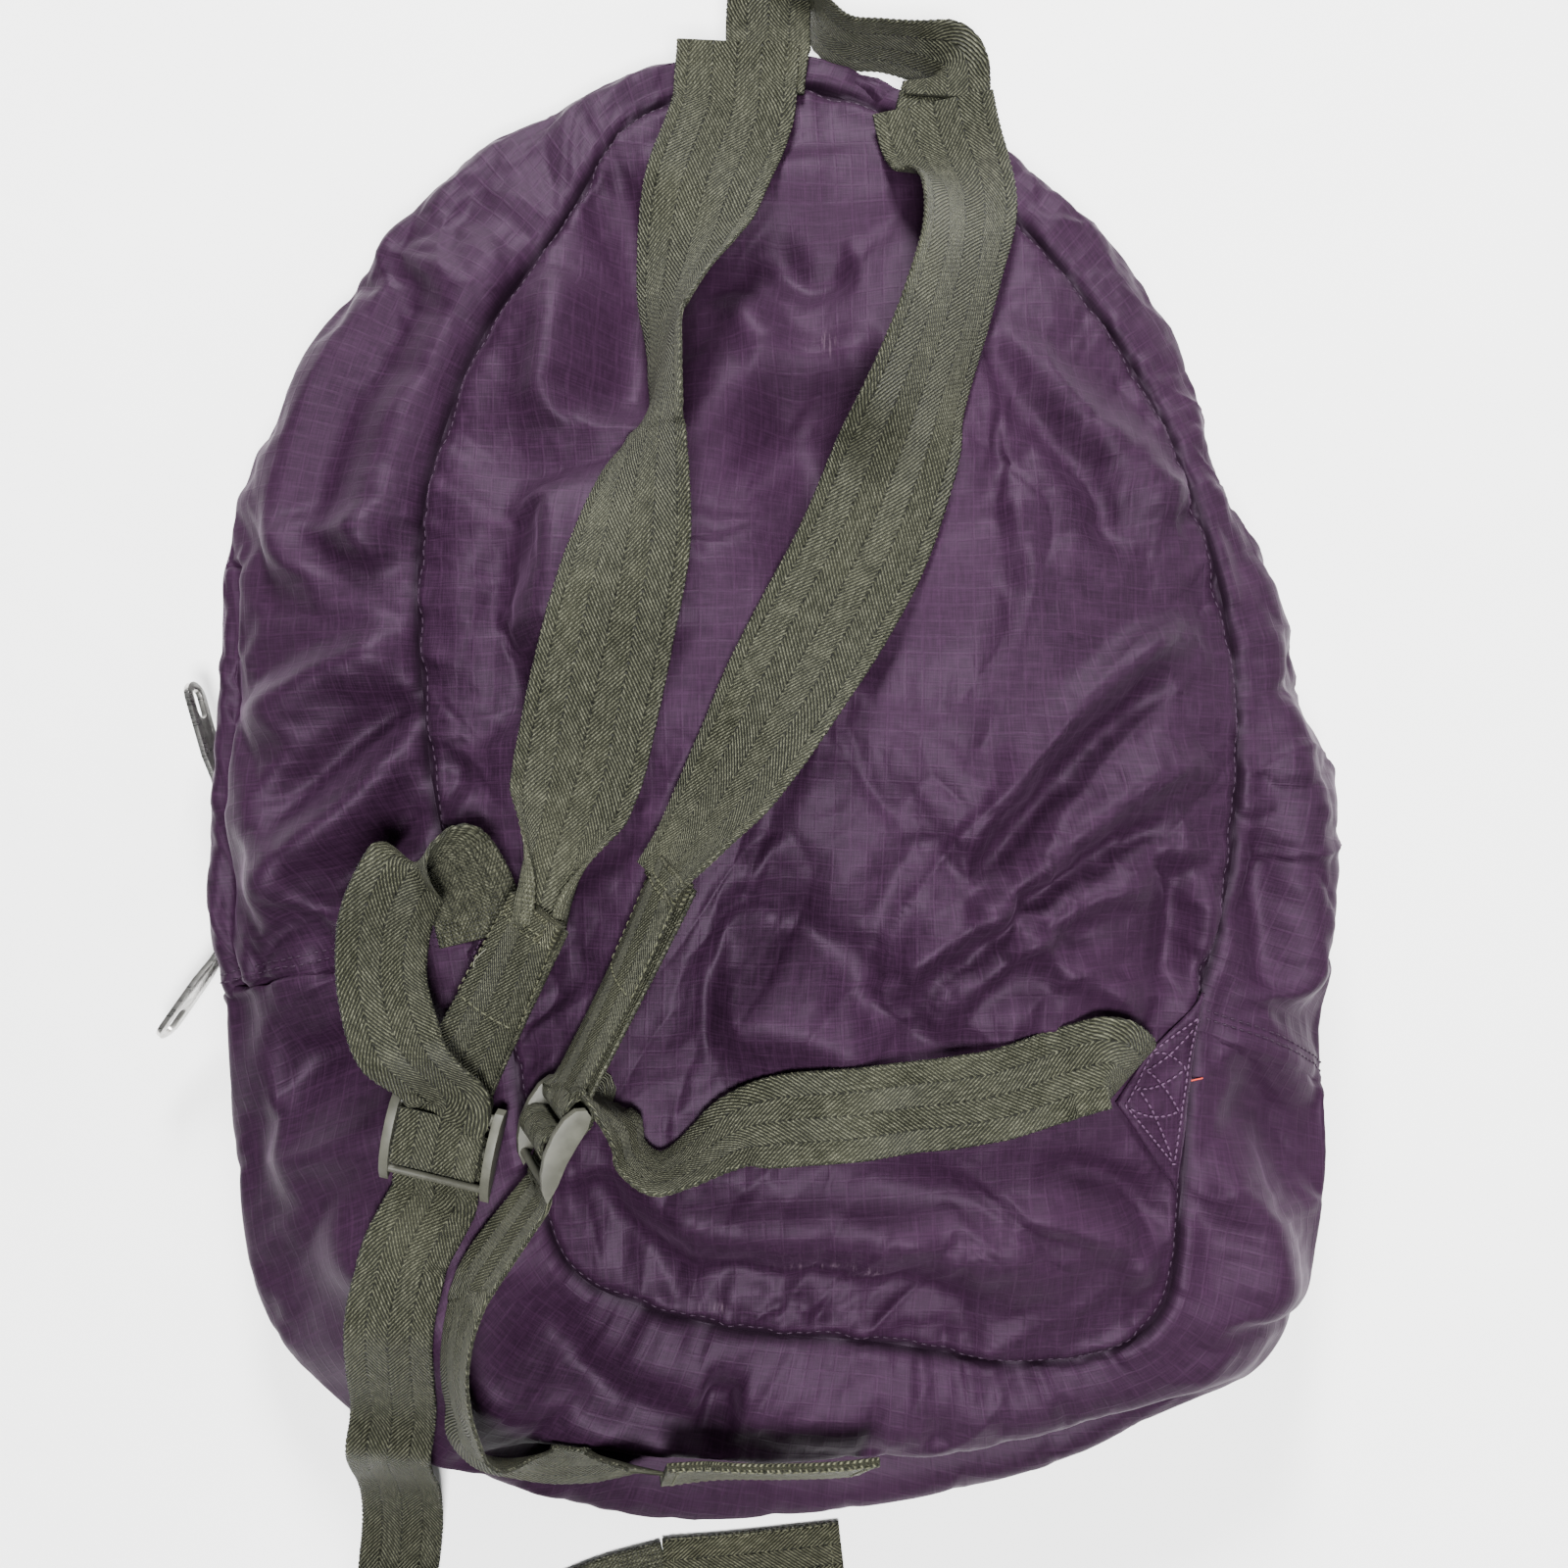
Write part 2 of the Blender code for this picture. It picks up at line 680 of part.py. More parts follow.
LEFT_LOCK = lock_matrix((-0.0960, -0.1010, ground(-0.0960, -0.1010) + 0.0095), 12, 6)
RIGHT_LOCK = lock_matrix((-0.0640, -0.0950, ground(-0.0640, -0.0950) + 0.0205), 26, 68)
RAIL_OUTLINE = (
    (-0.0135, -0.0026), (-0.0110, 0.0002), (-0.0070, 0.0024), (-0.0020, 0.0039), (0.0040, 0.0042),
    (0.0090, 0.0034), (0.0122, 0.0016), (0.0134, -0.0010), (0.0122, -0.0030), (0.0090, -0.0036),
    (0.0040, -0.0030), (-0.0020, -0.0026), (-0.0080, -0.0030),
)
BARS = ((0.0098, 0.0, 0.0017), (0.0005, -0.0003, 0.0016), (-0.0098, -0.0010, 0.0012))


def make_lock(name, frame):
    """Two crescent rails joined by three round bars."""
    finish = material(name + "_plastic", GREY_PLASTIC, 0.45)
    side = (LOCK_INNER + LOCK_RAIL) / 2
    pieces = []
    for sign in (-1, 1):
        rail = curve_mesh(flat_outline([RAIL_OUTLINE], LOCK_RAIL))
        stand = Matrix(((0, 0, 1, sign * side), (1, 0, 0, 0), (0, 1, 0, 0), (0, 0, 0, 1)))
        rail.transform(stand)
        pieces.append(rail)
    for y, z, radius in BARS:
        bar = bpy.data.meshes.new("bar")
        built = bmesh.new()
        lie = Matrix.Translation((0, y, z)) @ Matrix.Rotation(math.pi / 2, 4, "Y")
        bmesh.ops.create_cone(built, cap_ends=True, segments=BAR_SEGMENTS, radius1=radius, radius2=radius,
                              depth=LOCK_INNER + LOCK_RAIL, matrix=lie)
        built.to_mesh(bar)
        built.free()
        pieces.append(bar)
    lock = united(name, pieces, finish)
    lock.matrix_world = frame
    return lock


def in_lock(frame, path, count):
    """Frames of webbing that follows (y, z) points inside a lock, straight across it."""
    line = smooth_line([(0, y, z) for y, z in path], count)
    centres = np.array([frame @ Vector(point) for point in line])
    across = np.tile(np.array(frame.to_3x3().col[0]), (count, 1))
    return centres, across


LEFT_WRAP = ((0.0090, 0.0054), (0.0030, 0.0051), (-0.0030, 0.0049), (-0.0058, 0.0045), (-0.0068, 0.0036),
             (-0.0056, 0.0028), (-0.0020, 0.0025), (0.0014, 0.0024), (0.0036, 0.0014), (0.0041, -0.0008),
             (0.0030, -0.0028), (0.0000, -0.0036), (-0.0050, -0.0037), (-0.0100, -0.0037),
             (-0.0140, -0.0040))
RIGHT_WRAP = ((0.0100, -0.0054), (0.0065, -0.0043), (0.0046, -0.0022), (0.0040, 0.0004), (0.0030, 0.0030),
              (0.0006, 0.0046), (-0.0022, 0.0040), (-0.0038, 0.0018), (-0.0046, -0.0010),
              (-0.0064, -0.0030), (-0.0100, -0.0037), (-0.0140, -0.0042))
LOOP_TOP = ((0.0120, 0.0026), (0.0098, 0.0029), (0.0078, 0.0021), (0.0069, 0.0000), (0.0078, -0.0021),
            (0.0098, -0.0029), (0.0120, -0.0026))


def make_loop(name, frame, hem, hem_across):
    """Webbing folded round the lock's strap bar, its two ends side by side at the strap's end."""
    across = frame.to_3x3().col[0].copy()
    turn = [frame @ Vector((0, y, z)) for y, z in LOOP_TOP]
    start = frame @ Vector((0, 0.0180, 0.0014))
    finish = frame @ Vector((0, 0.0180, -0.0014))
    hem = Vector(hem)
    hem_across = Vector(hem_across).normalized()
    out = hem_across.cross(hem - frame.translation).normalized()
    mean = (start + finish) / 2
    half = (hem + mean) / 2
    half_across = (across + hem_across).normalized()
    path = [(hem + out * LOOP_GAPE, hem_across), (half + out * LOOP_GAPE, half_across), (start, across)]
    path += [(point, across) for point in turn]
    path += [(finish, across), (half - out * LOOP_GAPE, half_across), (hem - out * LOOP_GAPE, hem_across)]
    stations = [(*point, *direction) for point, direction in path]
    ribbon(name, free_frames(stations, 40), ADJUSTER_WIDTH)


def lock_station(frame, y, z):
    return (*(frame @ Vector((0, y, z))), *frame.to_3x3().col[0])


LEFT_ADJUSTER = (
    (-0.0838, -0.0430, 0.0655, 0.90, 0.35, 0.00),
    (-0.0860, -0.0340, 0.0690, 0.92, 0.35, 0.00),
    (-0.0887, -0.0253, 0.0745, 0.90, 0.40, 0.05),
    (-0.0930, -0.0190, 0.0805, 0.85, 0.50, 0.10),
    (-0.1000, -0.0225, 0.0850, 0.80, 0.60, 0.05),
    (-0.1065, -0.0330, 0.0830, 0.90, 0.42, 0.00),
    (-0.1100, -0.0450, 0.0785, 1.00, 0.10, 0.00),
    (-0.1100, -0.0585, 0.0765, 1.00, -0.05, 0.02),
    (-0.1045, -0.0735, 0.0780, 0.985, -0.16, 0.04),
)
RIGHT_ADJUSTER_LAID = (
    (0.0690, -0.0835, 0, 0.000),
    (0.0460, -0.0875, 0, 0.000),
    (0.0270, -0.0885, 0, 0.000),
    (0.0040, -0.0910, 12, 0.000),
    (-0.0127, -0.0945, 45, 0.000),
    (-0.0240, -0.1010, 66, 0.000),
    (-0.0340, -0.1050, 74, 0.000),
    (-0.0405, -0.1010, 76, 0.000),
    (-0.0430, -0.0930, 76, 0.000),
    (-0.0480, -0.0860, 74, 0.000),
)
RIGHT_ADJUSTER_RISE = (
    (0.0960, -0.0820, 0.0660, -0.62, -0.78, 0.00),
    (0.0940, -0.0795, 0.0710, -0.58, -0.80, -0.06),
    (0.0880, -0.0765, 0.0755, -0.42, -0.90, -0.08),
    (0.0800, -0.0790, 0.0765, -0.15, -0.99, -0.02),
)
LEFT_TAIL = (
    (-0.1045, -0.1240, 0, 0.0005),
    (-0.1080, -0.1380, 0, 0.000),
    (-0.1105, -0.1520, 0, 0.000),
    (-0.1130, -0.1780, 0, 0.000),
    (-0.1150, -0.1900, 0, 0.006),
    (-0.1168, -0.2040, 0, 0.025),
    (-0.1182, -0.2200, 0, 0.008),
    (-0.1200, -0.2380, 0, -0.001),
    (-0.1210, -0.2500, 10, -0.001),
    (-0.1190, -0.2640, 60, -0.001),
    (-0.1080, -0.2740, 95, -0.001),
    (-0.0920, -0.2730, 140, -0.001),
    (-0.0750, -0.2640, 172, -0.001),
    (-0.0560, -0.2550, 180, -0.001),
    (-0.0390, -0.2500, 180, -0.001),
)
RIGHT_TAIL = (
    (-0.0800, -0.1290, 60, 0.002),
    (-0.0850, -0.1370, 62, 0.001),
    (-0.0890, -0.1490, 64, 0.000),
    (-0.0905, -0.1620, 64, 0.000),
    (-0.0895, -0.1780, 60, 0.000),
    (-0.0865, -0.1920, 52, 0.000),
    (-0.0740, -0.2010, 44, 0.000),
    (-0.0600, -0.2025, 46, 0.000),
    (-0.0470, -0.2015, 52, 0.000),
    (-0.0370, -0.2000, 55, 0.000),
)


def stations_of(frames, picks):
    return [(*frames[0][k], *frames[1][k]) for k in picks]


def make_harness():
    left = laid_frames(LEFT_STRAP, STRAP_WIDTH, 44)
    right = laid_frames(RIGHT_STRAP, STRAP_WIDTH, 40)
    ribbon("left_shoulder_strap", left, STRAP_WIDTH, gathered=0.55)
    ribbon("right_shoulder_strap", right, STRAP_WIDTH, gathered=0.75)
    make_lock("left_ladder_lock", LEFT_LOCK)
    make_lock("right_ladder_lock", RIGHT_LOCK)
    for side, frame, strap in (("left", LEFT_LOCK, left), ("right", RIGHT_LOCK, right)):
        end = strap[0][-1]
        along = unit(end - strap[0][-3])
        make_loop(side + "_strap_loop", frame, end + along * 0.0012, strap[1][-1])
    ribbon("left_adjuster_wrap", in_lock(LEFT_LOCK, LEFT_WRAP, 36), ADJUSTER_WIDTH)
    ribbon("right_adjuster_wrap", in_lock(RIGHT_LOCK, RIGHT_WRAP, 30), ADJUSTER_WIDTH)
    arrive = lock_station(LEFT_LOCK, 0.0146, 0.0072)
    ribbon("left_adjuster_webbing", free_frames((*LEFT_ADJUSTER, arrive), 36), ADJUSTER_WIDTH)
    laid = laid_frames(RIGHT_ADJUSTER_LAID, ADJUSTER_WIDTH, 46)
    arrive = lock_station(RIGHT_LOCK, 0.0152, -0.0064)
    path = [*RIGHT_ADJUSTER_RISE, *stations_of(laid, range(2, 46, 4)), arrive]
    ribbon("right_adjuster_webbing", free_frames(path, 60), ADJUSTER_WIDTH)
    for name, frame, stations in (("left", LEFT_LOCK, LEFT_TAIL), ("right", RIGHT_LOCK, RIGHT_TAIL)):
        tail = laid_frames(stations, ADJUSTER_WIDTH, 48)
        leave = lock_station(frame, -0.0165, -0.0046)
        path = [leave, *stations_of(tail, range(2, 48, 3))]
        ribbon(name + "_adjuster_tail", free_frames(path, 52), ADJUSTER_WIDTH)


HAUL_LOOP = (
    (-0.0045, 0.2215, 0.0290, -1.00, 0.00, 0.00),
    (-0.0045, 0.2330, 0.0290, -1.00, 0.00, 0.10),
    (-0.0015, 0.2430, 0.0300, -0.75, 0.35, 0.55),
    (0.0050, 0.2440, 0.0310, -0.10, 0.35, 0.93),
    (0.0095, 0.2370, 0.0310, 0.20, 0.10, 0.97),
    (0.0120, 0.2300, 0.0300, 0.20, 0.20, 0.96),
    (0.0190, 0.2245, 0.0300, 0.10, 0.25, 0.96),
    (0.0300, 0.2230, 0.0300, 0.00, 0.25, 0.96),
    (0.0420, 0.2205, 0.0310, 0.20, 0.30, 0.93),
    (0.0495, 0.2140, 0.0330, 0.75, 0.20, 0.60),
    (0.0480, 0.2065, 0.0355, 1.00, 0.00, 0.10),
)
LEFT_ROOT = (
    (-0.0045, 0.2050, 0.0350, -1.00, 0.00, 0.00),
    (-0.0045, 0.2120, 0.0325, -1.00, 0.00, 0.00),
    (-0.0045, 0.2195, 0.0295, -1.00, 0.00, 0.00),
)
RIGHT_ROOT = (
    (0.0470, 0.2045, 0.0365, 1.00, 0.00, 0.05),
    (0.0455, 0.1980, 0.0380, 1.00, 0.00, 0.00),
    (0.0440, 0.1910, 0.0400, 1.00, 0.00, 0.00),
)
LEFT_TAB = ((-0.0795, -0.0330), (-0.0895, -0.0480), (-0.0790, -0.0680), (-0.0765, -0.0400))
RIGHT_TAB = ((0.1035, -0.0755), (0.0930, -0.0895), (0.1120, -0.1160), (0.1190, -0.0590))
LEFT_HEM = ((-0.0350, -0.2494), (-0.0100, -0.2470), (0.0185, -0.2438))
RIGHT_HEM = ((-0.0322, -0.1995, 57, 0.0), (-0.0100, -0.1990, 60, 0.0), (0.0240, -0.1975, 60, 0.0))


def make_tab(name, corners):
    """A folded fabric patch laid on the skin, its first edge towards the webbing that it holds."""
    a, b, c, d = (np.array(corner) for corner in corners)
    rows = []
    for t in np.linspace(0, 1, TAB_STEPS):
        near = a + (d - a) * t
        far = b + (c - b) * t
        line = [near + (far - near) * u for u in np.linspace(0, 1, TAB_STEPS)]
        rows.append([(x, y, ground(x, y) + SKIN_CLEARANCE) for x, y in line])
    mesh = grid_mesh(name, rows)
    face_up(mesh, 1)
    solidify(add_object(name, mesh, fabric(name)), TAB, 0)


def make_ends():
    """The carry loop, the anchor patches and the hems at the free ends."""
    ribbon("haul_loop", free_frames(HAUL_LOOP, 44), HAUL_WIDTH)
    ribbon("haul_loop_root_left", free_frames(LEFT_ROOT, 6), HAUL_WIDTH)
    ribbon("haul_loop_root_right", free_frames(RIGHT_ROOT, 6), HAUL_WIDTH)
    make_tab("left_anchor_tab", LEFT_TAB)
    make_tab("right_anchor_tab", RIGHT_TAB)
    flat = [(x, y, HEM / 2 + GAP, 0, 1, 0) for x, y in LEFT_HEM]
    ribbon("left_tail_hem", free_frames(flat, 8), HEM_WIDTH, HEM)
    ribbon("right_tail_hem", laid_frames(RIGHT_HEM, HEM_WIDTH, 10, STRAP_LIFT + HEM / 4), HEM_WIDTH, HEM)


make_harness()
make_ends()
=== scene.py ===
import json
import math

import bmesh
import bpy
import numpy as np
from mathutils import Matrix, Vector
from mathutils.bvhtree import BVHTree


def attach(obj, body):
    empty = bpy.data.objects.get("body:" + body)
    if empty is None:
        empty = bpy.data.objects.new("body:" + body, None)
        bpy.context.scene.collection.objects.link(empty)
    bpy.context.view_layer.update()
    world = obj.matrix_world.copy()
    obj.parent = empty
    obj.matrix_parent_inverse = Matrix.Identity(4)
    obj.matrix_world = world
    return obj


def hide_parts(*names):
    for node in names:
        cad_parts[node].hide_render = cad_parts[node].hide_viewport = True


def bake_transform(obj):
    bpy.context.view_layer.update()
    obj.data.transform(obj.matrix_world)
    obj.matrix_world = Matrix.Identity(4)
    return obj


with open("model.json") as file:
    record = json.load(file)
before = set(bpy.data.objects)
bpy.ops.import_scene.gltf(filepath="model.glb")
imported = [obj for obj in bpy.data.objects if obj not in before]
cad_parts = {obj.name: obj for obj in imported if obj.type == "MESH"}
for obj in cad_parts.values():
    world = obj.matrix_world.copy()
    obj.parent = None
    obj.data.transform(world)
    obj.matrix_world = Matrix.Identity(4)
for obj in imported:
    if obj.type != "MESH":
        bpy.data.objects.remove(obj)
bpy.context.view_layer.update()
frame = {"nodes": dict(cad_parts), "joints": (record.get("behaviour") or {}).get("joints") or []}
NODES = frame["nodes"]
JOINTS = {joint["name"]: joint for joint in frame["joints"]}
RANDOM = np.random.default_rng(11)
LATTICE = RANDOM.random((97, 89)) * 2 - 1

# Sizes, in metres
STRAP = 0.036
WEB = 0.025
THICK = 0.0014
RINGS = 72
COLUMNS = 8 * RINGS
GUSSET_ROWS = 30
PANEL_TOP = 0.081
PANEL_CENTRE = np.array([0.012, 0.012, 0.0])
ZIP_SLOPE = math.radians(15)
ZIP_LINE = 0.0118
FLAP = 0.0030
COIL = 0.0020
GAPE = 0.0070
SIDE_SEAM = 15
BULGE = 0.0085
FOLD_GAIN = 1.65
LOCK_OFFSET = 0.0098
HEM_WIDTH = 0.0256
HEM_THICK = 0.0028
RIPSTOP_CELL = 0.0046
COIL_PITCH = 0.00145
COIL_WIRE = 0.00030
SHEET_HALF = 1.6
SHEET_Z = -0.0004
CAMERA_HEIGHT = 0.6
CAMERA_LENS = 43.8
UP = np.array([0, 0, 1.0])

# Half of a webbing's cross-section: places from edge to edge, and the share of its thickness there
EDGE_TO_EDGE = np.array([-1, -0.985, -0.93, -0.8, -0.6, -0.4, -0.2, 0, 0.2, 0.4, 0.6, 0.8, 0.93, 0.985, 1])
FULLNESS = np.array([0.30, 0.74, 1.0, 0.92, 0.86, 0.84, 0.82, 0.82, 0.82, 0.84, 0.86, 0.92, 1.0, 0.74, 0.30])
SPAN = len(EDGE_TO_EDGE)
MIDDLE = SPAN // 2

# How the cloth simulation behaves
CLOTH_FRAMES = 26
CLOTH_CAP = 0.0065
CLOTH_SETTINGS = {
    "quality": 6, "mass": 0.08, "tension_stiffness": 18, "compression_stiffness": 18, "shear_stiffness": 6,
    "bending_stiffness": 0.35, "tension_damping": 8, "compression_damping": 8, "shear_damping": 8,
    "bending_damping": 0.8, "air_damping": 2.5, "vertex_group_mass": "held", "shrink_min": -0.034,
    "use_pressure": True, "uniform_pressure_force": 0.35}

# Outline stations: back seam x, y, z, then the widest line x, y, z, clockwise from the left side seam
STATIONS = np.array((
    (-0.082, -0.042, 0.062, -0.1660, -0.061, 0.036),
    (-0.094, -0.022, 0.061, -0.1696, -0.037, 0.036),
    (-0.100, 0.002, 0.060, -0.1689, -0.010, 0.036),
    (-0.104, 0.043, 0.058, -0.1675, 0.042, 0.036),
    (-0.104, 0.066, 0.057, -0.1669, 0.064, 0.036),
    (-0.100, 0.094, 0.053, -0.1560, 0.100, 0.035),
    (-0.087, 0.131, 0.047, -0.1270, 0.149, 0.032),
    (-0.066, 0.163, 0.040, -0.0900, 0.189, 0.028),
    (-0.043, 0.199, 0.0315, -0.0470, 0.212, 0.027),
    (0.000, 0.2085, 0.0305, 0.0000, 0.216, 0.027),
    (0.039, 0.193, 0.0345, 0.0470, 0.197, 0.027),
    (0.078, 0.154, 0.043, 0.0880, 0.170, 0.028),
    (0.110, 0.102, 0.052, 0.1210, 0.109, 0.029),
    (0.127, 0.040, 0.058, 0.1480, 0.043, 0.030),
    (0.127, -0.020, 0.060, 0.1590, -0.030, 0.030),
    (0.117, -0.068, 0.057, 0.1610, -0.088, 0.029),
    (0.114, -0.118, 0.053, 0.1600, -0.124, 0.027),
    (0.107, -0.155, 0.050, 0.1400, -0.177, 0.025),
    (0.074, -0.167, 0.049, 0.0860, -0.202, 0.024),
    (0.025, -0.161, 0.050, 0.0200, -0.218, 0.023),
    (-0.018, -0.156, 0.052, -0.0420, -0.222, 0.023),
    (-0.056, -0.143, 0.054, -0.1020, -0.206, 0.024),
    (-0.069, -0.118, 0.058, -0.1480, -0.169, 0.026),
    (-0.076, -0.080, 0.061, -0.1640, -0.112, 0.028),
))
STATION_COUNT = len(STATIONS)


# ---- Curves and noise ----

def unit(v):
    return v / np.maximum(np.linalg.norm(v, axis=-1, keepdims=True), 1e-12)


def curve(points, where, closed=False):
    """Catmull-Rom points at parameters along the given ones."""
    points = np.asarray(points, dtype=float)
    where = np.asarray(where, dtype=float)
    total = len(points)
    low = np.floor(where).astype(int)
    if not closed:
        low = np.clip(low, 0, total - 2)
    t = (where - low)[:, None]
    picks = [(low + k) % total if closed else np.clip(low + k, 0, total - 1) for k in (-1, 0, 1, 2)]
    a, b, c, d = (points[pick] for pick in picks)
    return 0.5 * (2 * b + (c - a) * t + (2 * a - 5 * b + 4 * c - d) * t**2 + (3 * b - a - 3 * c + d) * t**3)


def arc(line):
    return np.concatenate([[0], np.cumsum(np.linalg.norm(np.diff(line, axis=0), axis=1))])


def evenly(points, step):
    """The same curve at an even step of length."""
    dense = curve(points, np.linspace(0, len(points) - 1, 40 * len(points)))
    run = arc(dense[:, :3])
    want = np.linspace(0, run[-1], max(4, int(run[-1] / step) + 1))
    return np.stack([np.interp(want, run, dense[:, k]) for k in range(dense.shape[1])], axis=1)


def ease(x):
    x = np.clip(x, 0, 1)
    return x * x * (3 - 2 * x)


def noise(x, y, scale, seed=0):
    """Smooth noise between -1 and 1."""
    x = np.asarray(x) / scale + 17.31 * seed + 400
    y = np.asarray(y) / scale + 9.77 * seed + 400
    i = np.floor(x).astype(int)
    j = np.floor(y).astype(int)
    fx = ease(x - i)
    fy = ease(y - j)
    rows, cols = LATTICE.shape

    def pick(a, b):
        return LATTICE[a % rows, b % cols]

    low = pick(i, j) * (1 - fx) + pick(i + 1, j) * fx
    high = pick(i, j + 1) * (1 - fx) + pick(i + 1, j + 1) * fx
    return low * (1 - fy) + high * fy


def noise_along(run, scale, seed):
    return noise(run, run * 0, scale, seed)


def ridges(x, y, scale, seed, sharp):
    """Crumple lines: 1 on a crease, falling away to both sides."""
    wx = x + noise(x, y, scale * 1.7, seed + 3) * scale * 0.5
    wy = y + noise(x, y, scale * 1.7, seed + 5) * scale * 0.5
    return np.exp(-np.abs(noise(wx, wy, scale, seed)) / sharp)


def facets(x, y, scale, seed):
    """Crumpled height between 0 and 1: blunt cones that meet in sharp valleys."""
    gx = (x + noise(x, y, scale * 1.8, seed + 2) * scale * 0.8) / scale + 300
    gy = (y + noise(x, y, scale * 1.8, seed + 4) * scale * 0.8) / scale + 300 + 7 * seed
    i = np.floor(gx).astype(int)
    j = np.floor(gy).astype(int)
    rows, cols = LATTICE.shape
    best = np.full(gx.shape, 9.0)
    for di in (-1, 0, 1):
        for dj in (-1, 0, 1):
            a = i + di
            b = j + dj
            px = a + 0.5 + 0.49 * LATTICE[a % rows, b % cols]
            py = b + 0.5 + 0.49 * LATTICE[(a + 31) % rows, (b + 17) % cols]
            best = np.minimum(best, (gx - px) ** 2 + (gy - py) ** 2)
    return 1 - np.sqrt(best + 0.03)


def near_line(x, y, line):
    """Distance to a polyline, and how far along it from 0 to 1."""
    line = curve(line, np.linspace(0, len(line) - 1, 6 * len(line)))
    best = np.full(x.shape, 9.0)
    where = np.zeros(x.shape)
    for k in range(len(line) - 1):
        a = line[k]
        d = line[k + 1] - a
        t = np.clip(((x - a[0]) * d[0] + (y - a[1]) * d[1]) / max(d @ d, 1e-12), 0, 1)
        gap = np.hypot(x - a[0] - t * d[0], y - a[1] - t * d[1])
        closer = gap < best
        best = np.where(closer, gap, best)
        where = np.where(closer, (k + t) / (len(line) - 1), where)
    return best, where


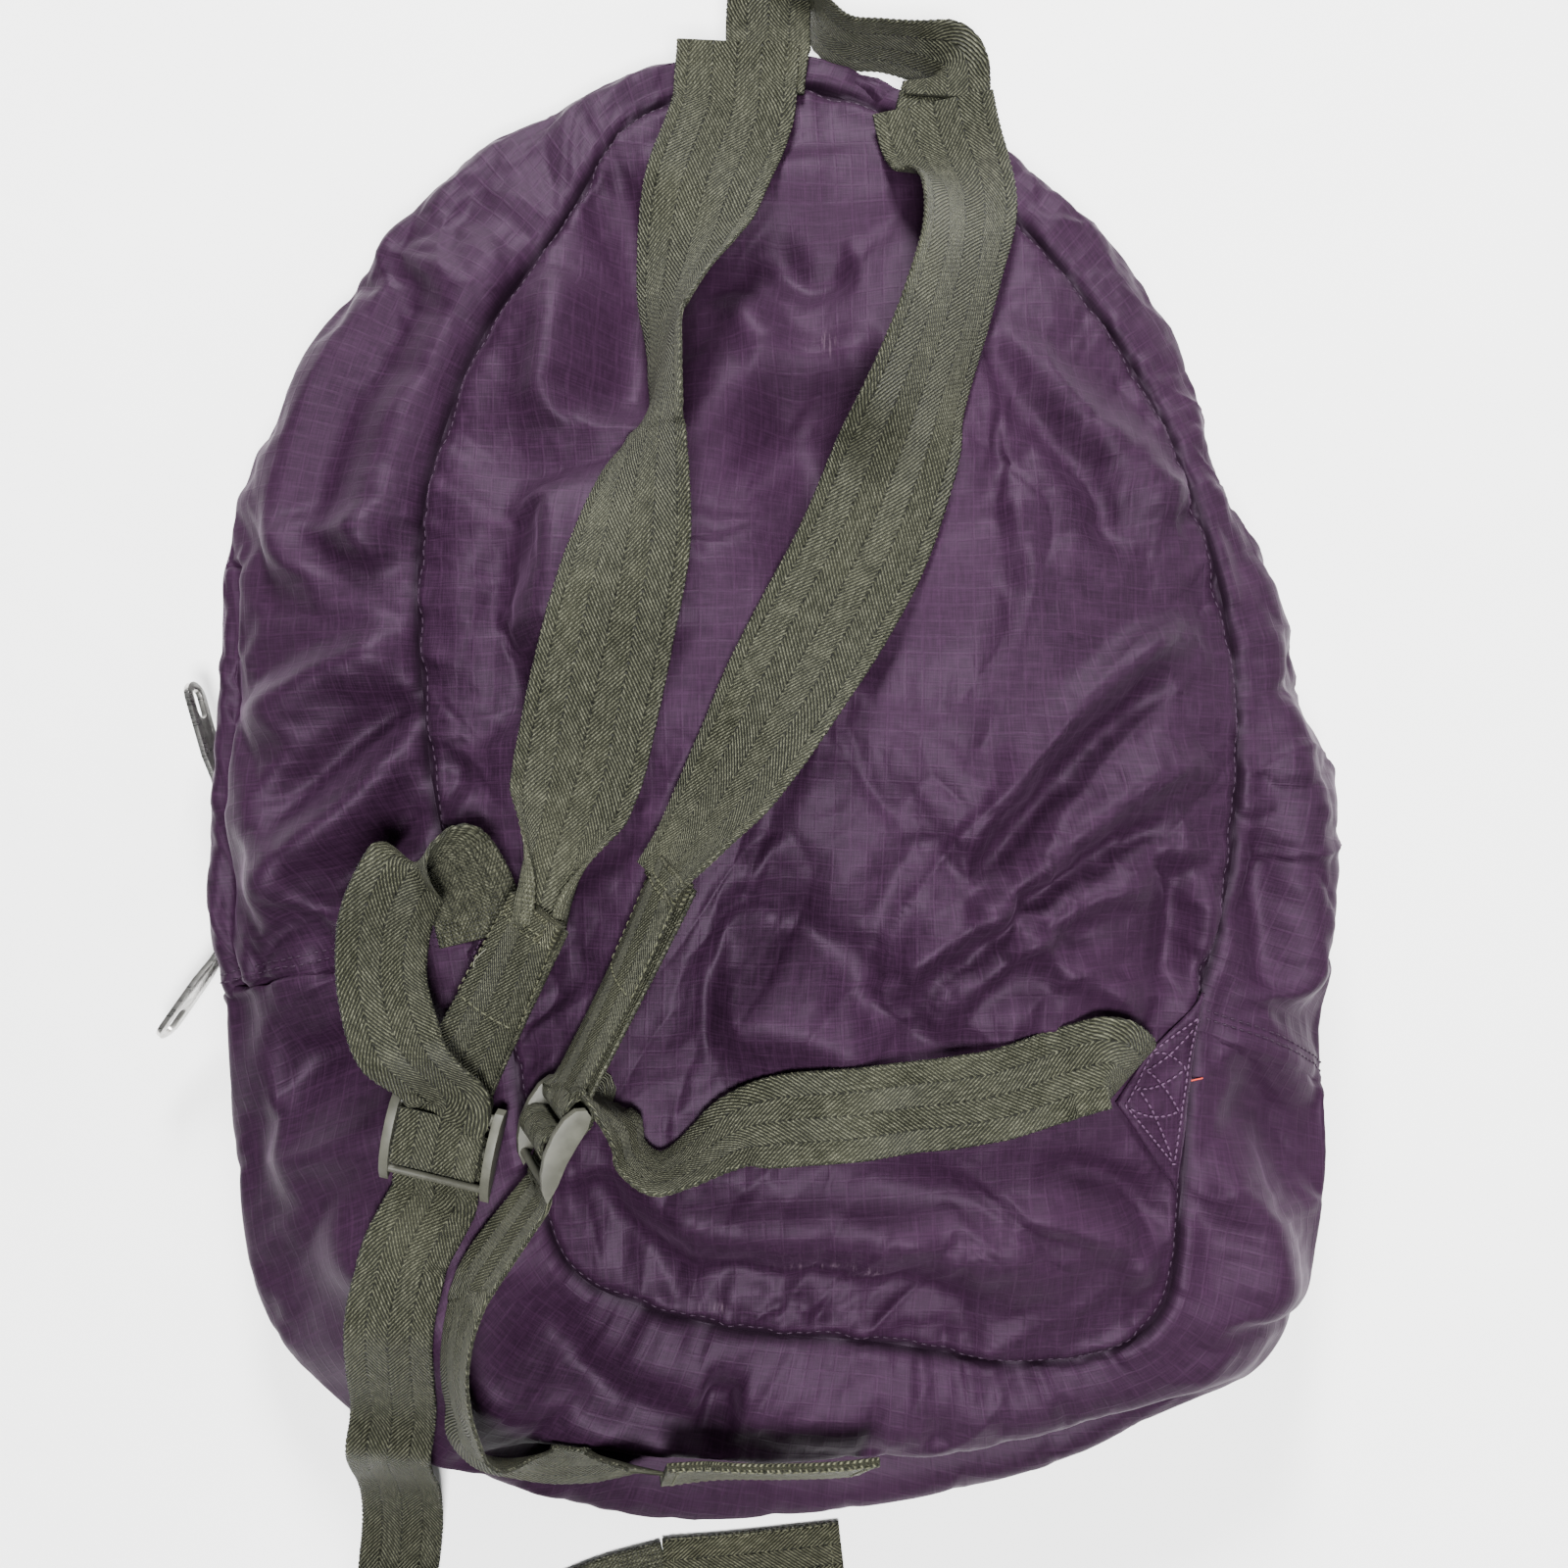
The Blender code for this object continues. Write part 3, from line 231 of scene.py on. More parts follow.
# Folds of the cloth: height, half width, line of (x, y)
FOLDS = (
    (-0.0085, 0.034, ((-0.006, 0.180), (0.004, 0.140), (0.008, 0.100), (0.002, 0.060))),
    (-0.0080, 0.011, ((-0.046, 0.186), (-0.046, 0.156), (-0.045, 0.124), (-0.048, 0.100))),
    (0.0040, 0.008, ((-0.062, 0.150), (-0.066, 0.128), (-0.066, 0.100))),
    (-0.0095, 0.017, ((-0.014, 0.118), (0.002, 0.104), (0.010, 0.085), (0.006, 0.060), (-0.006, 0.036))),
    (0.0045, 0.007, ((-0.017, 0.147), (-0.008, 0.129), (0.011, 0.122), (0.028, 0.130))),
    (-0.0035, 0.006, ((-0.010, 0.162), (0.004, 0.150), (0.020, 0.152))),
    (0.0050, 0.010, ((-0.068, 0.090), (-0.062, 0.060), (-0.066, 0.034))),
    (-0.0050, 0.009, ((-0.082, 0.074), (-0.080, 0.040), (-0.072, 0.012))),
    (0.0035, 0.008, ((0.060, 0.136), (0.082, 0.104), (0.104, 0.087), (0.113, 0.062))),
    (-0.0030, 0.006, ((0.066, 0.112), (0.086, 0.086), (0.092, 0.062))),
    (0.0040, 0.006, ((0.112, 0.046), (0.078, 0.020), (0.044, -0.022))),
    (-0.0035, 0.006, ((0.108, 0.028), (0.080, 0.004), (0.050, -0.034))),
    (0.0040, 0.006, ((0.117, 0.011), (0.088, -0.008), (0.044, -0.044), (0.022, -0.060))),
    (-0.0030, 0.005, ((0.112, -0.012), (0.080, -0.024), (0.046, -0.058))),
    (0.0035, 0.005, ((0.106, -0.026), (0.076, -0.036), (0.050, -0.060))),
    (0.0035, 0.006, ((0.104, -0.066), (0.078, -0.050), (0.049, -0.030))),
    (-0.0045, 0.006, ((0.108, -0.060), (0.110, -0.040), (0.106, -0.018))),
    (0.0040, 0.005, ((0.113, -0.072), (0.119, -0.050), (0.121, -0.024))),
    (-0.0040, 0.009, ((-0.020, -0.036), (0.010, -0.044), (0.040, -0.070), (0.062, -0.078))),
    (0.0040, 0.010, ((-0.020, -0.066), (0.004, -0.066), (0.030, -0.076))),
    (-0.0045, 0.008, ((-0.055, -0.108), (-0.046, -0.126), (-0.024, -0.142))),
    (0.0045, 0.009, ((-0.044, -0.108), (-0.010, -0.124), (0.045, -0.128), (0.098, -0.140))),
    (-0.0035, 0.006, ((-0.030, -0.138), (0.010, -0.143), (0.060, -0.147))),
    (0.0030, 0.005, ((0.060, -0.118), (0.092, -0.128), (0.106, -0.146))),
    (-0.0030, 0.005, ((0.070, -0.106), (0.096, -0.114), (0.108, -0.130))),
    (0.0050, 0.008, ((-0.104, 0.040), (-0.128, 0.032), (-0.158, 0.014))),
    (-0.0055, 0.007, ((-0.100, 0.026), (-0.122, 0.012), (-0.150, -0.012))),
    (0.0060, 0.008, ((-0.092, 0.020), (-0.116, 0.000), (-0.140, -0.020), (-0.154, -0.040))),
    (-0.0060, 0.007, ((-0.088, 0.008), (-0.112, -0.016), (-0.132, -0.036))),
    (0.0055, 0.007, ((-0.084, 0.000), (-0.108, -0.024), (-0.130, -0.044))),
    (0.0045, 0.014, ((-0.070, 0.162), (-0.106, 0.110), (-0.118, 0.060))),
    (-0.0040, 0.010, ((-0.100, 0.150), (-0.124, 0.104), (-0.136, 0.060))),
    (0.0045, 0.008, ((-0.110, 0.066), (-0.130, 0.072), (-0.152, 0.066))),
    (-0.0060, 0.010, ((-0.096, -0.066), (-0.122, -0.080), (-0.152, -0.084))),
    (0.0040, 0.010, ((-0.096, -0.090), (-0.126, -0.104), (-0.154, -0.112))),
    (0.0055, 0.010, ((-0.136, -0.128), (-0.098, -0.150), (-0.070, -0.190))),
    (-0.0060, 0.009, ((-0.084, -0.138), (-0.060, -0.168), (-0.040, -0.182), (-0.008, -0.190))),
    (-0.0070, 0.007, ((-0.024, -0.178), (-0.012, -0.180))),
    (0.0040, 0.007, ((0.143, 0.029), (0.151, -0.029), (0.149, -0.069))),
    (-0.0040, 0.006, ((0.131, -0.013), (0.138, -0.037), (0.140, -0.062))),
    (0.0040, 0.008, ((0.120, -0.110), (0.138, -0.126), (0.142, -0.160))),
    (-0.0035, 0.007, ((0.128, -0.090), (0.146, -0.100), (0.152, -0.126))),
)


def folds(x, y):
    total = np.zeros(x.shape)
    for height, width, line in FOLDS:
        gap, along = near_line(x, y, np.array(line))
        ends = ease(along / 0.25)
        total += FOLD_GAIN * height * np.exp(-(gap / width) ** 2) * ends * ease((1 - along) / 0.25)
    return total


# ---- The bag's outline ----

def outline(first, where):
    return curve(STATIONS[:, first:first + 3], where, True)


def inward(where):
    along = unit(outline(3, where + 0.02) - outline(3, where - 0.02))
    return unit(np.stack([along[:, 1], -along[:, 0], np.zeros(len(where))], axis=1))


def zip_points(where, down):
    fall = inward(where) * math.sin(ZIP_SLOPE) + np.array([0, 0, -math.cos(ZIP_SLOPE)])
    return outline(3, where) + fall * np.reshape(down, (-1, 1))


def front_seam(where):
    line = outline(3, where) + inward(where) * 0.014
    line[:, 2] = 0.0015
    return line


def even_columns(start, stop, count):
    dense = np.linspace(start, stop, 1200)
    run = arc((outline(0, dense) + outline(3, dense)) / 2)
    return np.interp(np.linspace(0, run[-1], count), run, dense), run[-1]


UPPER_LENGTH = even_columns(0, SIDE_SEAM, 3)[1]
LOWER_LENGTH = even_columns(SIDE_SEAM, STATION_COUNT, 3)[1]
UPPER_COLUMNS = int(round(COLUMNS * UPPER_LENGTH / (UPPER_LENGTH + LOWER_LENGTH)))
UPPER_WHERE = even_columns(0, SIDE_SEAM, UPPER_COLUMNS + 1)[0]
LOWER_WHERE = even_columns(SIDE_SEAM, STATION_COUNT, COLUMNS - UPPER_COLUMNS + 1)[0]
RIM_WHERE = np.concatenate([UPPER_WHERE[:-1], LOWER_WHERE[:-1]])


def bulging(seam, widest, push, shares):
    """Rows between two lines, pushed out most in the middle."""
    return [seam + (widest - seam) * t + push * (math.sin(math.pi * t) * BULGE) for t in shares]


def upper_profile(where):
    """Control rows from the back seam over the side to the hanging edge of the flap."""
    seam = outline(0, where)
    widest = outline(3, where)
    rows = bulging(seam, widest, unit(UP - inward(where)), (0, 0.2, 0.4, 0.6, 0.8, 0.94))
    rows.append(widest + (zip_points(where, FLAP) - widest) * 0.3)
    rows.append(zip_points(where, FLAP + 0.0012))
    return np.array(rows)


def lower_profile(where):
    """Control rows from the back seam to the front seam; along the bottom the cloth folds over itself."""
    seam = outline(0, where)
    widest = outline(3, where)
    front = front_seam(where)
    into = inward(where)
    plain = bulging(seam, widest, unit(UP - into), (0, 0.22, 0.45, 0.68, 0.88))
    plain += [widest, widest + (front - widest) * 0.35 - into * 0.0045,
              widest + (front - widest) * 0.7 - into * 0.004, front]
    reach = (widest - seam) * np.array([1, 1, 0.0])
    folded = [seam, seam + reach * 0.30 + UP * 0.001, seam + reach * 0.56 - UP * 0.005,
              seam + reach * 0.61 - UP * 0.013, seam + reach * 0.44 - UP * 0.030,
              seam + reach * 0.78 + UP * (widest - seam)[:, 2:],
              widest - into * 0.001 - UP * 0.006, widest + into * 0.002 - UP * 0.016, front]
    share = (ease((where - 16.8) / 1.2) * ease((21.2 - where) / 1.2))[:, None]
    return np.array([a + (b - a) * share for a, b in zip(plain, folded)])


def lofted(controls, count):
    """Rows through the control rows at even steps."""
    where = np.linspace(0, len(controls) - 1, 8 * len(controls))
    flat = curve(controls.reshape(len(controls), -1), where).reshape(len(where), *controls.shape[1:])
    run = arc(flat.mean(axis=1))
    want = np.linspace(0, run[-1], count)
    picks = np.interp(want, run, where)
    return curve(controls.reshape(len(controls), -1), picks).reshape(count, *controls.shape[1:])


def grid_faces(rows, cols, base=0, cyclic=False):
    r, c = np.meshgrid(np.arange(rows - 1), np.arange(cols if cyclic else cols - 1), indexing="ij")
    n = (c + 1) % cols
    low, high = base + r * cols, base + (r + 1) * cols
    return np.stack([low + c, high + c, high + n, low + n], axis=-1).reshape(-1, 4)


def square_disc(rim, centre, height):
    """A square grid whose edge follows a closed rim of COLUMNS points."""
    a, b = np.meshgrid(np.arange(-RINGS, RINGS + 1), np.arange(-RINGS, RINGS + 1), indexing="ij")
    k = np.maximum(np.abs(a), np.abs(b))
    side = np.select([(b == -k) & (a < k), (a == k) & (b < k), (b == k) & (a > -k)], [0, 1, 2], 3)
    run = np.select([side == 0, side == 1, side == 2], [a + k, b + k, k - a], k - b)
    share = np.where(k > 0, (side * 2 * k + run) / np.maximum(8 * k, 1), 0.0) % 1.0
    column = share * COLUMNS
    low = np.floor(column).astype(int) % COLUMNS
    f = (column - np.floor(column))[..., None]
    edge = rim[low] * (1 - f) + rim[(low + 1) % COLUMNS] * f
    r = (k / RINGS)[..., None]
    points = centre + (edge - centre) * r
    points[..., 2] = height(r[..., 0], edge[..., 2], points[..., 0], points[..., 1])
    size = 2 * RINGS + 1
    return points.reshape(-1, 3), grid_faces(size, size), (r[..., 0]).reshape(-1), column.reshape(-1)


def mesh_from(name, points, faces):
    mesh = bpy.data.meshes.new(name)
    mesh.from_pydata([tuple(p) for p in points], [], [tuple(f) for f in faces])
    mesh.shade_smooth()
    return mesh


def add(name, mesh):
    obj = bpy.data.objects.new(name, mesh)
    bpy.context.scene.collection.objects.link(obj)
    return obj


def coords(mesh):
    out = np.empty(len(mesh.vertices) * 3)
    mesh.vertices.foreach_get("co", out)
    return out.reshape(-1, 3)


def normals(mesh):
    out = np.empty(len(mesh.vertices) * 3)
    mesh.vertex_normals.foreach_get("vector", out)
    return out.reshape(-1, 3)


def set_coords(mesh, points):
    mesh.vertices.foreach_set("co", np.asarray(points, dtype=float).reshape(-1))
    mesh.update()


def attribute(mesh, name):
    out = np.empty(len(mesh.vertices))
    mesh.attributes[name].data.foreach_get("value", out)
    return out


def set_attribute(mesh, name, values):
    layer = mesh.attributes.new(name, "FLOAT", "POINT")
    layer.data.foreach_set("value", np.asarray(values, dtype=float))


def set_uv(mesh, uv):
    """Metric UVs from one pair a vertex."""
    layer = mesh.uv_layers.new(name="cloth")
    loops = np.empty(len(mesh.loops), dtype=int)
    mesh.loops.foreach_get("vertex_index", loops)
    layer.data.foreach_set("uv", np.asarray(uv)[loops].reshape(-1))


def tube(name, path, radius, rounding):
    """A round thread along a path, as a mesh."""
    data = bpy.data.curves.new(name, "CURVE")
    data.dimensions = "3D"
    data.bevel_depth = radius
    data.bevel_resolution = rounding
    data.use_fill_caps = True
    spline = data.splines.new("POLY")
    spline.points.add(len(path) - 1)
    spline.points.foreach_set("co", np.column_stack([path, np.ones(len(path))]).reshape(-1))
    holder = add(name + "_line", data)
    mesh = bpy.data.meshes.new_from_object(holder.evaluated_get(bpy.context.evaluated_depsgraph_get()))
    bpy.data.objects.remove(holder, do_unlink=True)
    return mesh


def applied(obj):
    """Bakes an object's modifiers into its mesh."""
    graph = bpy.context.evaluated_depsgraph_get()
    mesh = bpy.data.meshes.new_from_object(obj.evaluated_get(graph))
    obj.modifiers.clear()
    obj.data = mesh
    return obj


# ---- Bag shell ----

def make_shell():
    rim = outline(0, RIM_WHERE)

    def dome(r, rim_z, x, y):
        return rim_z * r**2 + (1 - r**2) * PANEL_TOP

    panel, faces, share, column = square_disc(rim, PANEL_CENTRE, dome)
    points = [panel]
    face_sets = [faces]
    rim_run = arc(np.vstack([rim, rim[:1]]))
    panel_s = np.interp(column, np.arange(COLUMNS + 1), rim_run)
    reach = np.linalg.norm(rim[np.minimum(column.astype(int), COLUMNS - 1)][:, :2] - PANEL_CENTRE[:2], axis=1)
    seam_d = [(1 - share) * reach]
    seam_s = [panel_s]
    side_d = [np.full(len(panel), 1.0)]
    uv = [panel[:, :2]]
    pin = [np.where(share > 0.999, 1.0, 0.0)]
    shade = [np.zeros(len(panel))]
    flap = [np.ones(len(panel))]
    base = len(panel)
    wide_where = np.concatenate([[-0.10, -0.05], UPPER_WHERE, [SIDE_SEAM + 0.05, SIDE_SEAM + 0.10]])
    for where, profile, lower in ((wide_where, upper_profile, False), (LOWER_WHERE, lower_profile, True)):
        rows = lofted(profile(where), GUSSET_ROWS)
        if not lower:
            tuck = np.clip(np.maximum(-where, where - SIDE_SEAM), 0, 1) / 0.10
            rows = rows + (inward(where) * 0.0012 - np.array([0, 0, 0.0010])) * tuck[:, None]
        points.append(rows.reshape(-1, 3))
        face_sets.append(grid_faces(GUSSET_ROWS, len(where), base))
        down = np.concatenate([np.zeros((1, len(where))),
                               np.cumsum(np.linalg.norm(np.diff(rows, axis=0), axis=2), axis=0)])
        along = np.broadcast_to(arc((rows[0] + rows[-1]) / 2), down.shape)
        shift = UPPER_LENGTH if lower else 0.0
        seam_d.append(down.reshape(-1))
        seam_s.append((along + shift).reshape(-1))
        side_d.append(np.minimum(along, along[:, -1:] - along).reshape(-1))
        uv.append(np.stack([along + 3.0 + shift, down], axis=-1).reshape(-1, 2))
        hold = np.zeros(down.shape)
        hold[0] = hold[-1] = 1.0
        hold[-2] = 0.6
        hold[:, :1 if lower else 3] = 1.0
        hold[:, -1 if lower else -3:] = 1.0
        depth = np.broadcast_to(np.linspace(0, 1, GUSSET_ROWS)[:, None], down.shape)
        span = (ease((where - 17.0) / 1.0) * ease((21.0 - where) / 1.0))[None, :] * float(lower)
        # Painted shade: the shade attribute marks the cloth inside the slit under the bottom fold's overhang,
        # which the ripstop material darkens.
        shade.append((np.exp(-((depth - 0.575) / 0.055) ** 2) * span).reshape(-1))
        hold = np.maximum(hold, 0.95 * np.exp(-((depth - 0.52) / 0.16) ** 4) * span)
        pin.append(hold.reshape(-1))
        hanging = down[-1][None, :] - down + ease((where - 4.0) / 1.4)[None, :]
        flap.append((np.ones(down.shape) if lower else hanging).reshape(-1))
        base += down.size
    points = np.vstack(points)
    mesh = mesh_from("bag_shell", points, np.vstack(face_sets))
    up = normals(mesh)
    if up[:len(panel), 2].mean() < 0:
        mesh.flip_normals()
        up = -up
    kept = {"seam_d": seam_d, "seam_s": seam_s, "side_d": side_d, "flap": flap, "shade": shade}
    for name, values in kept.items():
        set_attribute(mesh, name, np.concatenate(values))
    set_uv(mesh, np.vstack(uv))
    seam = np.concatenate(seam_d)
    x, y = points[:, 0], points[:, 1]
    amount = folds(x, y) * ease(seam / 0.010)
    broad = noise(x, y, 0.060, 2) * 0.0030 + noise(x, y, 0.030, 4) * 0.0016
    amount = (amount + broad * ease(seam / 0.02)) * (1 - np.concatenate(pin))
    low = ease((points[:, 2] - 0.006) / 0.012)
    set_coords(mesh, points + up * (amount * low)[:, None])
    shell = add("bag_shell", mesh)
    group = shell.vertex_groups.new(name="held")
    weights = np.round(np.concatenate(pin), 1)
    for value in np.unique(weights):
        if value > 0:
            group.add([int(k) for k in np.nonzero(weights == value)[0]], float(value), "REPLACE")
    return shell


def crumpled(shell):
    """Lets the cloth buckle between its seams, then keeps each point near where it was."""
    start = coords(shell.data).copy()
    cloth = shell.modifiers.new("cloth", "CLOTH")
    for key, value in CLOTH_SETTINGS.items():
        setattr(cloth.settings, key, value)
    cloth.settings.effector_weights.gravity = 0.0
    cloth.collision_settings.use_collision = False
    cloth.collision_settings.use_self_collision = False
    cloth.point_cache.frame_start = 1
    cloth.point_cache.frame_end = CLOTH_FRAMES
    scene = bpy.context.scene
    scene.frame_start = 1
    scene.frame_end = CLOTH_FRAMES
    for number in range(1, CLOTH_FRAMES + 1):
        scene.frame_set(number)
    applied(shell)
    scene.frame_set(1)
    moved = coords(shell.data) - start
    size = np.linalg.norm(moved, axis=1, keepdims=True)
    moved *= np.minimum(1, CLOTH_CAP * np.tanh(size / CLOTH_CAP) / np.maximum(size, 1e-9))
    moved *= (0.30 + 0.70 * ease(attribute(shell.data, "seam_d") / 0.030))[:, None]
    set_coords(shell.data, start + moved)


def finish_shell(shell):
    """Subdivides the cloth and adds its seams, puckers and fine creases."""
    smooth = shell.modifiers.new("smooth", "SUBSURF")
    smooth.levels = 1
    smooth.render_levels = 1
    applied(shell)
    mesh = shell.data
    points = coords(mesh)
    out = normals(mesh)
    seam_d = attribute(mesh, "seam_d")
    seam_s = attribute(mesh, "seam_s")
    side_d = attribute(mesh, "side_d")
    flap = attribute(mesh, "flap")
    x, y = points[:, 0], points[:, 1]
    on_side = side_d < 0.9
    x = np.where(on_side, seam_s, x)
    y = np.where(on_side, seam_d + 0.5, y)
    lean = np.where(on_side, 0.7, 0.9 + 0.5 * noise(x, y, 0.11, 31))
    a = x * np.cos(lean) + y * np.sin(lean)
    b = (y * np.cos(lean) - x * np.sin(lean)) * 1.7
    crease = ridges(a, b, 0.034, 1, 0.10) * 0.0012 - ridges(a + 0.3, b, 0.042, 6, 0.12) * 0.0013
    crease += (facets(a, b, 0.030, 1) - 0.55) * 0.0042 + (facets(x, y, 0.0170, 5) - 0.55) * 0.0015
    crease += (facets(x, y, 0.0082, 8) - 0.55) * 0.0008
    crease *= 0.52 + 0.62 * noise(x, y, 0.050, 21)
    crease *= np.where(on_side, 1 - 0.80 * ease((seam_d - 0.032) / 0.028), 1.0)
    pucker = noise_along(seam_s, 0.0038, 3) * 0.0010 + noise_along(seam_s, 0.0080, 8) * 0.0018
    reach = 0.010 + 0.007 * noise_along(seam_s, 0.02, 14)
    amount = crease * ease(seam_d / 0.006)
    amount += pucker * np.exp(-np.maximum(seam_d, 0) / reach) * ease(seam_d / 0.0012)
    amount -= 0.0014 * np.exp(-(seam_d / 0.0016) ** 2)
    amount += 0.0004 * np.exp(-((seam_d - 0.0036) / 0.0022) ** 2)
    side_pucker = noise_along(seam_d, 0.005, 5) * 0.0010
    at_side = side_pucker * np.exp(-side_d / 0.010) - 0.0012 * np.exp(-(side_d / 0.0016) ** 2)
    amount += at_side * ease(seam_d / 0.003)
    amount -= 0.0042 * np.exp(-((flap - 0.0105) / 0.0026) ** 2)
    amount += 0.0012 * np.exp(-((flap - 0.0060) / 0.0024) ** 2)
    low = ease((points[:, 2] - 0.0006) / 0.006) * np.where(flap < 0.02, 0.35 + 0.65 * ease(flap / 0.02), 1.0)
    at_seam = np.exp(-(seam_d / 0.0016) ** 2)[:, None]
    points = points + (out * (1 - at_seam) + UP * at_seam) * (amount * low)[:, None]
    points[:, 2] = np.maximum(points[:, 2], 0.0008)
    set_coords(mesh, points)


def mouth(where):
    """How far the zip gapes between its two sliders."""
    return np.cos(np.clip(np.abs(where - 1.5) / 0.5, 0, 1) * math.pi / 2) ** 2 * GAPE


def make_front():
    """Front panel on the floor, and the half of the upper gusset that stands up from it to the zip."""
    rim = front_seam(RIM_WHERE)

    def flat(r, rim_z, x, y):
        return 0.0006 + 0.0009 * r**8 + 0.00025 * (noise(x, y, 0.02, 4) + 1) * (1 - r)

    panel, faces, share, column = square_disc(rim, np.array([0, 0, 0.0]), flat)
    where = UPPER_WHERE
    top = zip_points(where, ZIP_LINE + COIL + 0.0078 + mouth(where))
    bottom = front_seam(where)
    rows = np.array([bottom + (top - bottom) * t - inward(where) * (math.sin(math.pi * t) * 0.0015)
                     for t in np.linspace(0, 1, 9)])
    wave = noise(np.broadcast_to(arc(top), rows.shape[:2]), rows[..., 2], 0.009, 6) * 0.0005
    rows = rows - inward(where)[None] * wave[..., None]
    points = np.vstack([panel, rows.reshape(-1, 3)])
    side = grid_faces(9, len(where), len(panel))
    mesh = mesh_from("bag_front", points, np.vstack([faces[:, ::-1], side[:, ::-1]]))
    along = np.broadcast_to(arc(top), rows.shape[:2])
    uv = np.vstack([panel[:, :2], np.stack([along + 6, rows[..., 2]], axis=-1).reshape(-1, 2)])
    set_uv(mesh, uv)
    for name in ("seam_d", "seam_s", "side_d", "flap"):
        set_attribute(mesh, name, np.full(len(points), 0.5))
    return add("bag_front", mesh)


# ---- Webbing ----

SKIN = []


def ground(x, y, probe=0.0015):
    hits = [SKIN[0].ray_cast(Vector((x + dx, y + dy, 0.3)), Vector((0, 0, -1)))[0]
            for dx, dy in ((0, 0), (probe, 0), (-probe, 0), (0, probe), (0, -probe))]
    return max([hit.z for hit in hits if hit], default=0.0)


def lift(centres, across, width, clear=0.0012):
    """Raises a strap's frames off the cloth, smoothly."""
    need = np.zeros(len(centres))
    for k, (spot, side) in enumerate(zip(centres, across)):
        for share in (-0.5, -0.3, -0.1, 0.1, 0.3, 0.5):
            probe = spot + side * width * share
            need[k] = max(need[k], ground(probe[0], probe[1]) + clear - probe[2])
    wide = np.array([need[max(0, k - 1):k + 2].max() for k in range(len(need))])
    soft = np.array([np.mean(wide[max(0, k - 1):k + 2]) for k in range(len(need))])
    centres = centres.copy()
    centres[:, 2] += np.maximum(soft, need)
    return centres


def laid(stations, width, clear=0.0012, step=0.004):
    """Frames of a strap laid on the cloth along (x, y, roll in degrees, lift)."""
    line = evenly([(x, y, 0, roll, up) for x, y, roll, up in stations], step)
    height = np.array([ground(x, y) for x, y in line[:, :2]])
    roll = np.radians(line[:, 3:4])
    centre_z = height + clear + 0.001 + np.abs(np.sin(roll[:, 0])) * width / 2 + line[:, 4]
    centres = np.column_stack([line[:, :2], centre_z])
    for _ in range(3):
        centres[1:-1, 2] = 0.25 * centres[:-2, 2] + 0.5 * centres[1:-1, 2] + 0.25 * centres[2:, 2]
    along = unit(np.gradient(centres, axis=0))
    side = unit(np.cross(UP, along))
    rise = unit(np.cross(along, side))
    across = side * np.cos(roll) + rise * np.sin(roll)
    return np.hstack([lift(centres, across, width, clear), across])


def free(stations, width=WEB, step=0.003):
    line = evenly(stations, step)
    across = unit(line[:, 3:6])
    return np.hstack([lift(line[:, :3], across, width), across])


def strip(name, frames, width, thickness=THICK, shape=None, folds_in=None, tuck=None):
    """Woven webbing along frames of (centre, across), with knobbly selvedges. At 0..1 along it, shape gives
    the cup, folds_in the share of the width, and tuck how far the edges roll over the middle."""
    line = evenly(frames, 0.00045)
    centres = line[:, :3]
    along = unit(np.gradient(centres, axis=0))
    across = unit(line[:, 3:6] - along * np.sum(line[:, 3:6] * along, axis=1, keepdims=True))
    face = np.cross(along, across)
    s = arc(centres)
    t = s / s[-1]
    q = EDGE_TO_EDGE
    narrow = np.ones(len(s)) if folds_in is None else folds_in(t)
    cup = np.zeros(len(s)) if shape is None else shape(t)
    beat = np.sin(2 * math.pi * s / 0.00185)
    wander = noise_along(s, 0.03, 7) * 0.0003
    rolled = (np.zeros(len(s)) if tuck is None else tuck(t))[:, None]
    turn = q[None, :] * math.pi * 0.88
    flat_x = (width / 2 * narrow)[:, None] * q[None, :]
    flat_z = cup[:, None] * (q**2)[None, :]
    x = flat_x * (1 - rolled) + width * 0.20 * np.sin(turn) * rolled
    z = flat_z * (1 - rolled) + width * 0.07 * (1 - np.cos(turn)) * rolled
    slope = unit(np.stack([np.gradient(x, axis=1), np.gradient(z, axis=1)], axis=-1))
    edge = np.sign(q)[None, :] * (np.abs(q) ** 14)[None, :] * 0.00026
    rings = []
    for sign in (1, -1):
        off = sign * thickness / 2 * FULLNESS[None, :]
        out_x = x + edge * (sign * beat)[:, None] + wander[:, None] - slope[..., 1] * off
        out_z = z + slope[..., 0] * off
        rings.append(centres[:, None] + across[:, None] * out_x[..., None] + face[:, None] * out_z[..., None])
    top, bottom = rings
    loop = np.concatenate([top, bottom[:, ::-1]], axis=1)
    rows, cols = loop.shape[:2]
    faces = grid_faces(rows, cols, 0, True)
    points = loop.reshape(-1, 3)
    caps = [tuple(range(cols)), tuple(reversed(range((rows - 1) * cols, rows * cols)))]
    mesh = mesh_from(name, points, [*faces, *caps])
    u = np.concatenate([q, q[::-1] + 4]) * width / 2
    uv = np.broadcast_arrays(u[None, :], s[:, None])
    set_uv(mesh, np.stack(uv, axis=-1).reshape(-1, 2))
    built = bmesh.new()
    built.from_mesh(mesh)
    bmesh.ops.recalc_face_normals(built, faces=built.faces)
    built.to_mesh(mesh)
    built.free()
    return add(name, mesh)


def lock_frame(joint, sign, heading):
    """The lock's own frame: X along the bar, Y to the shoulder strap, at a heading in degrees."""
    axis = Vector(joint["axis"]).normalized() * sign
    along = Vector((math.sin(math.radians(heading)), math.cos(math.radians(heading)), 0))
    turn = Matrix((axis, along, axis.cross(along))).transposed().to_4x4()
    return Matrix.Translation(Vector(joint["pos_m"]) - along * LOCK_OFFSET) @ turn


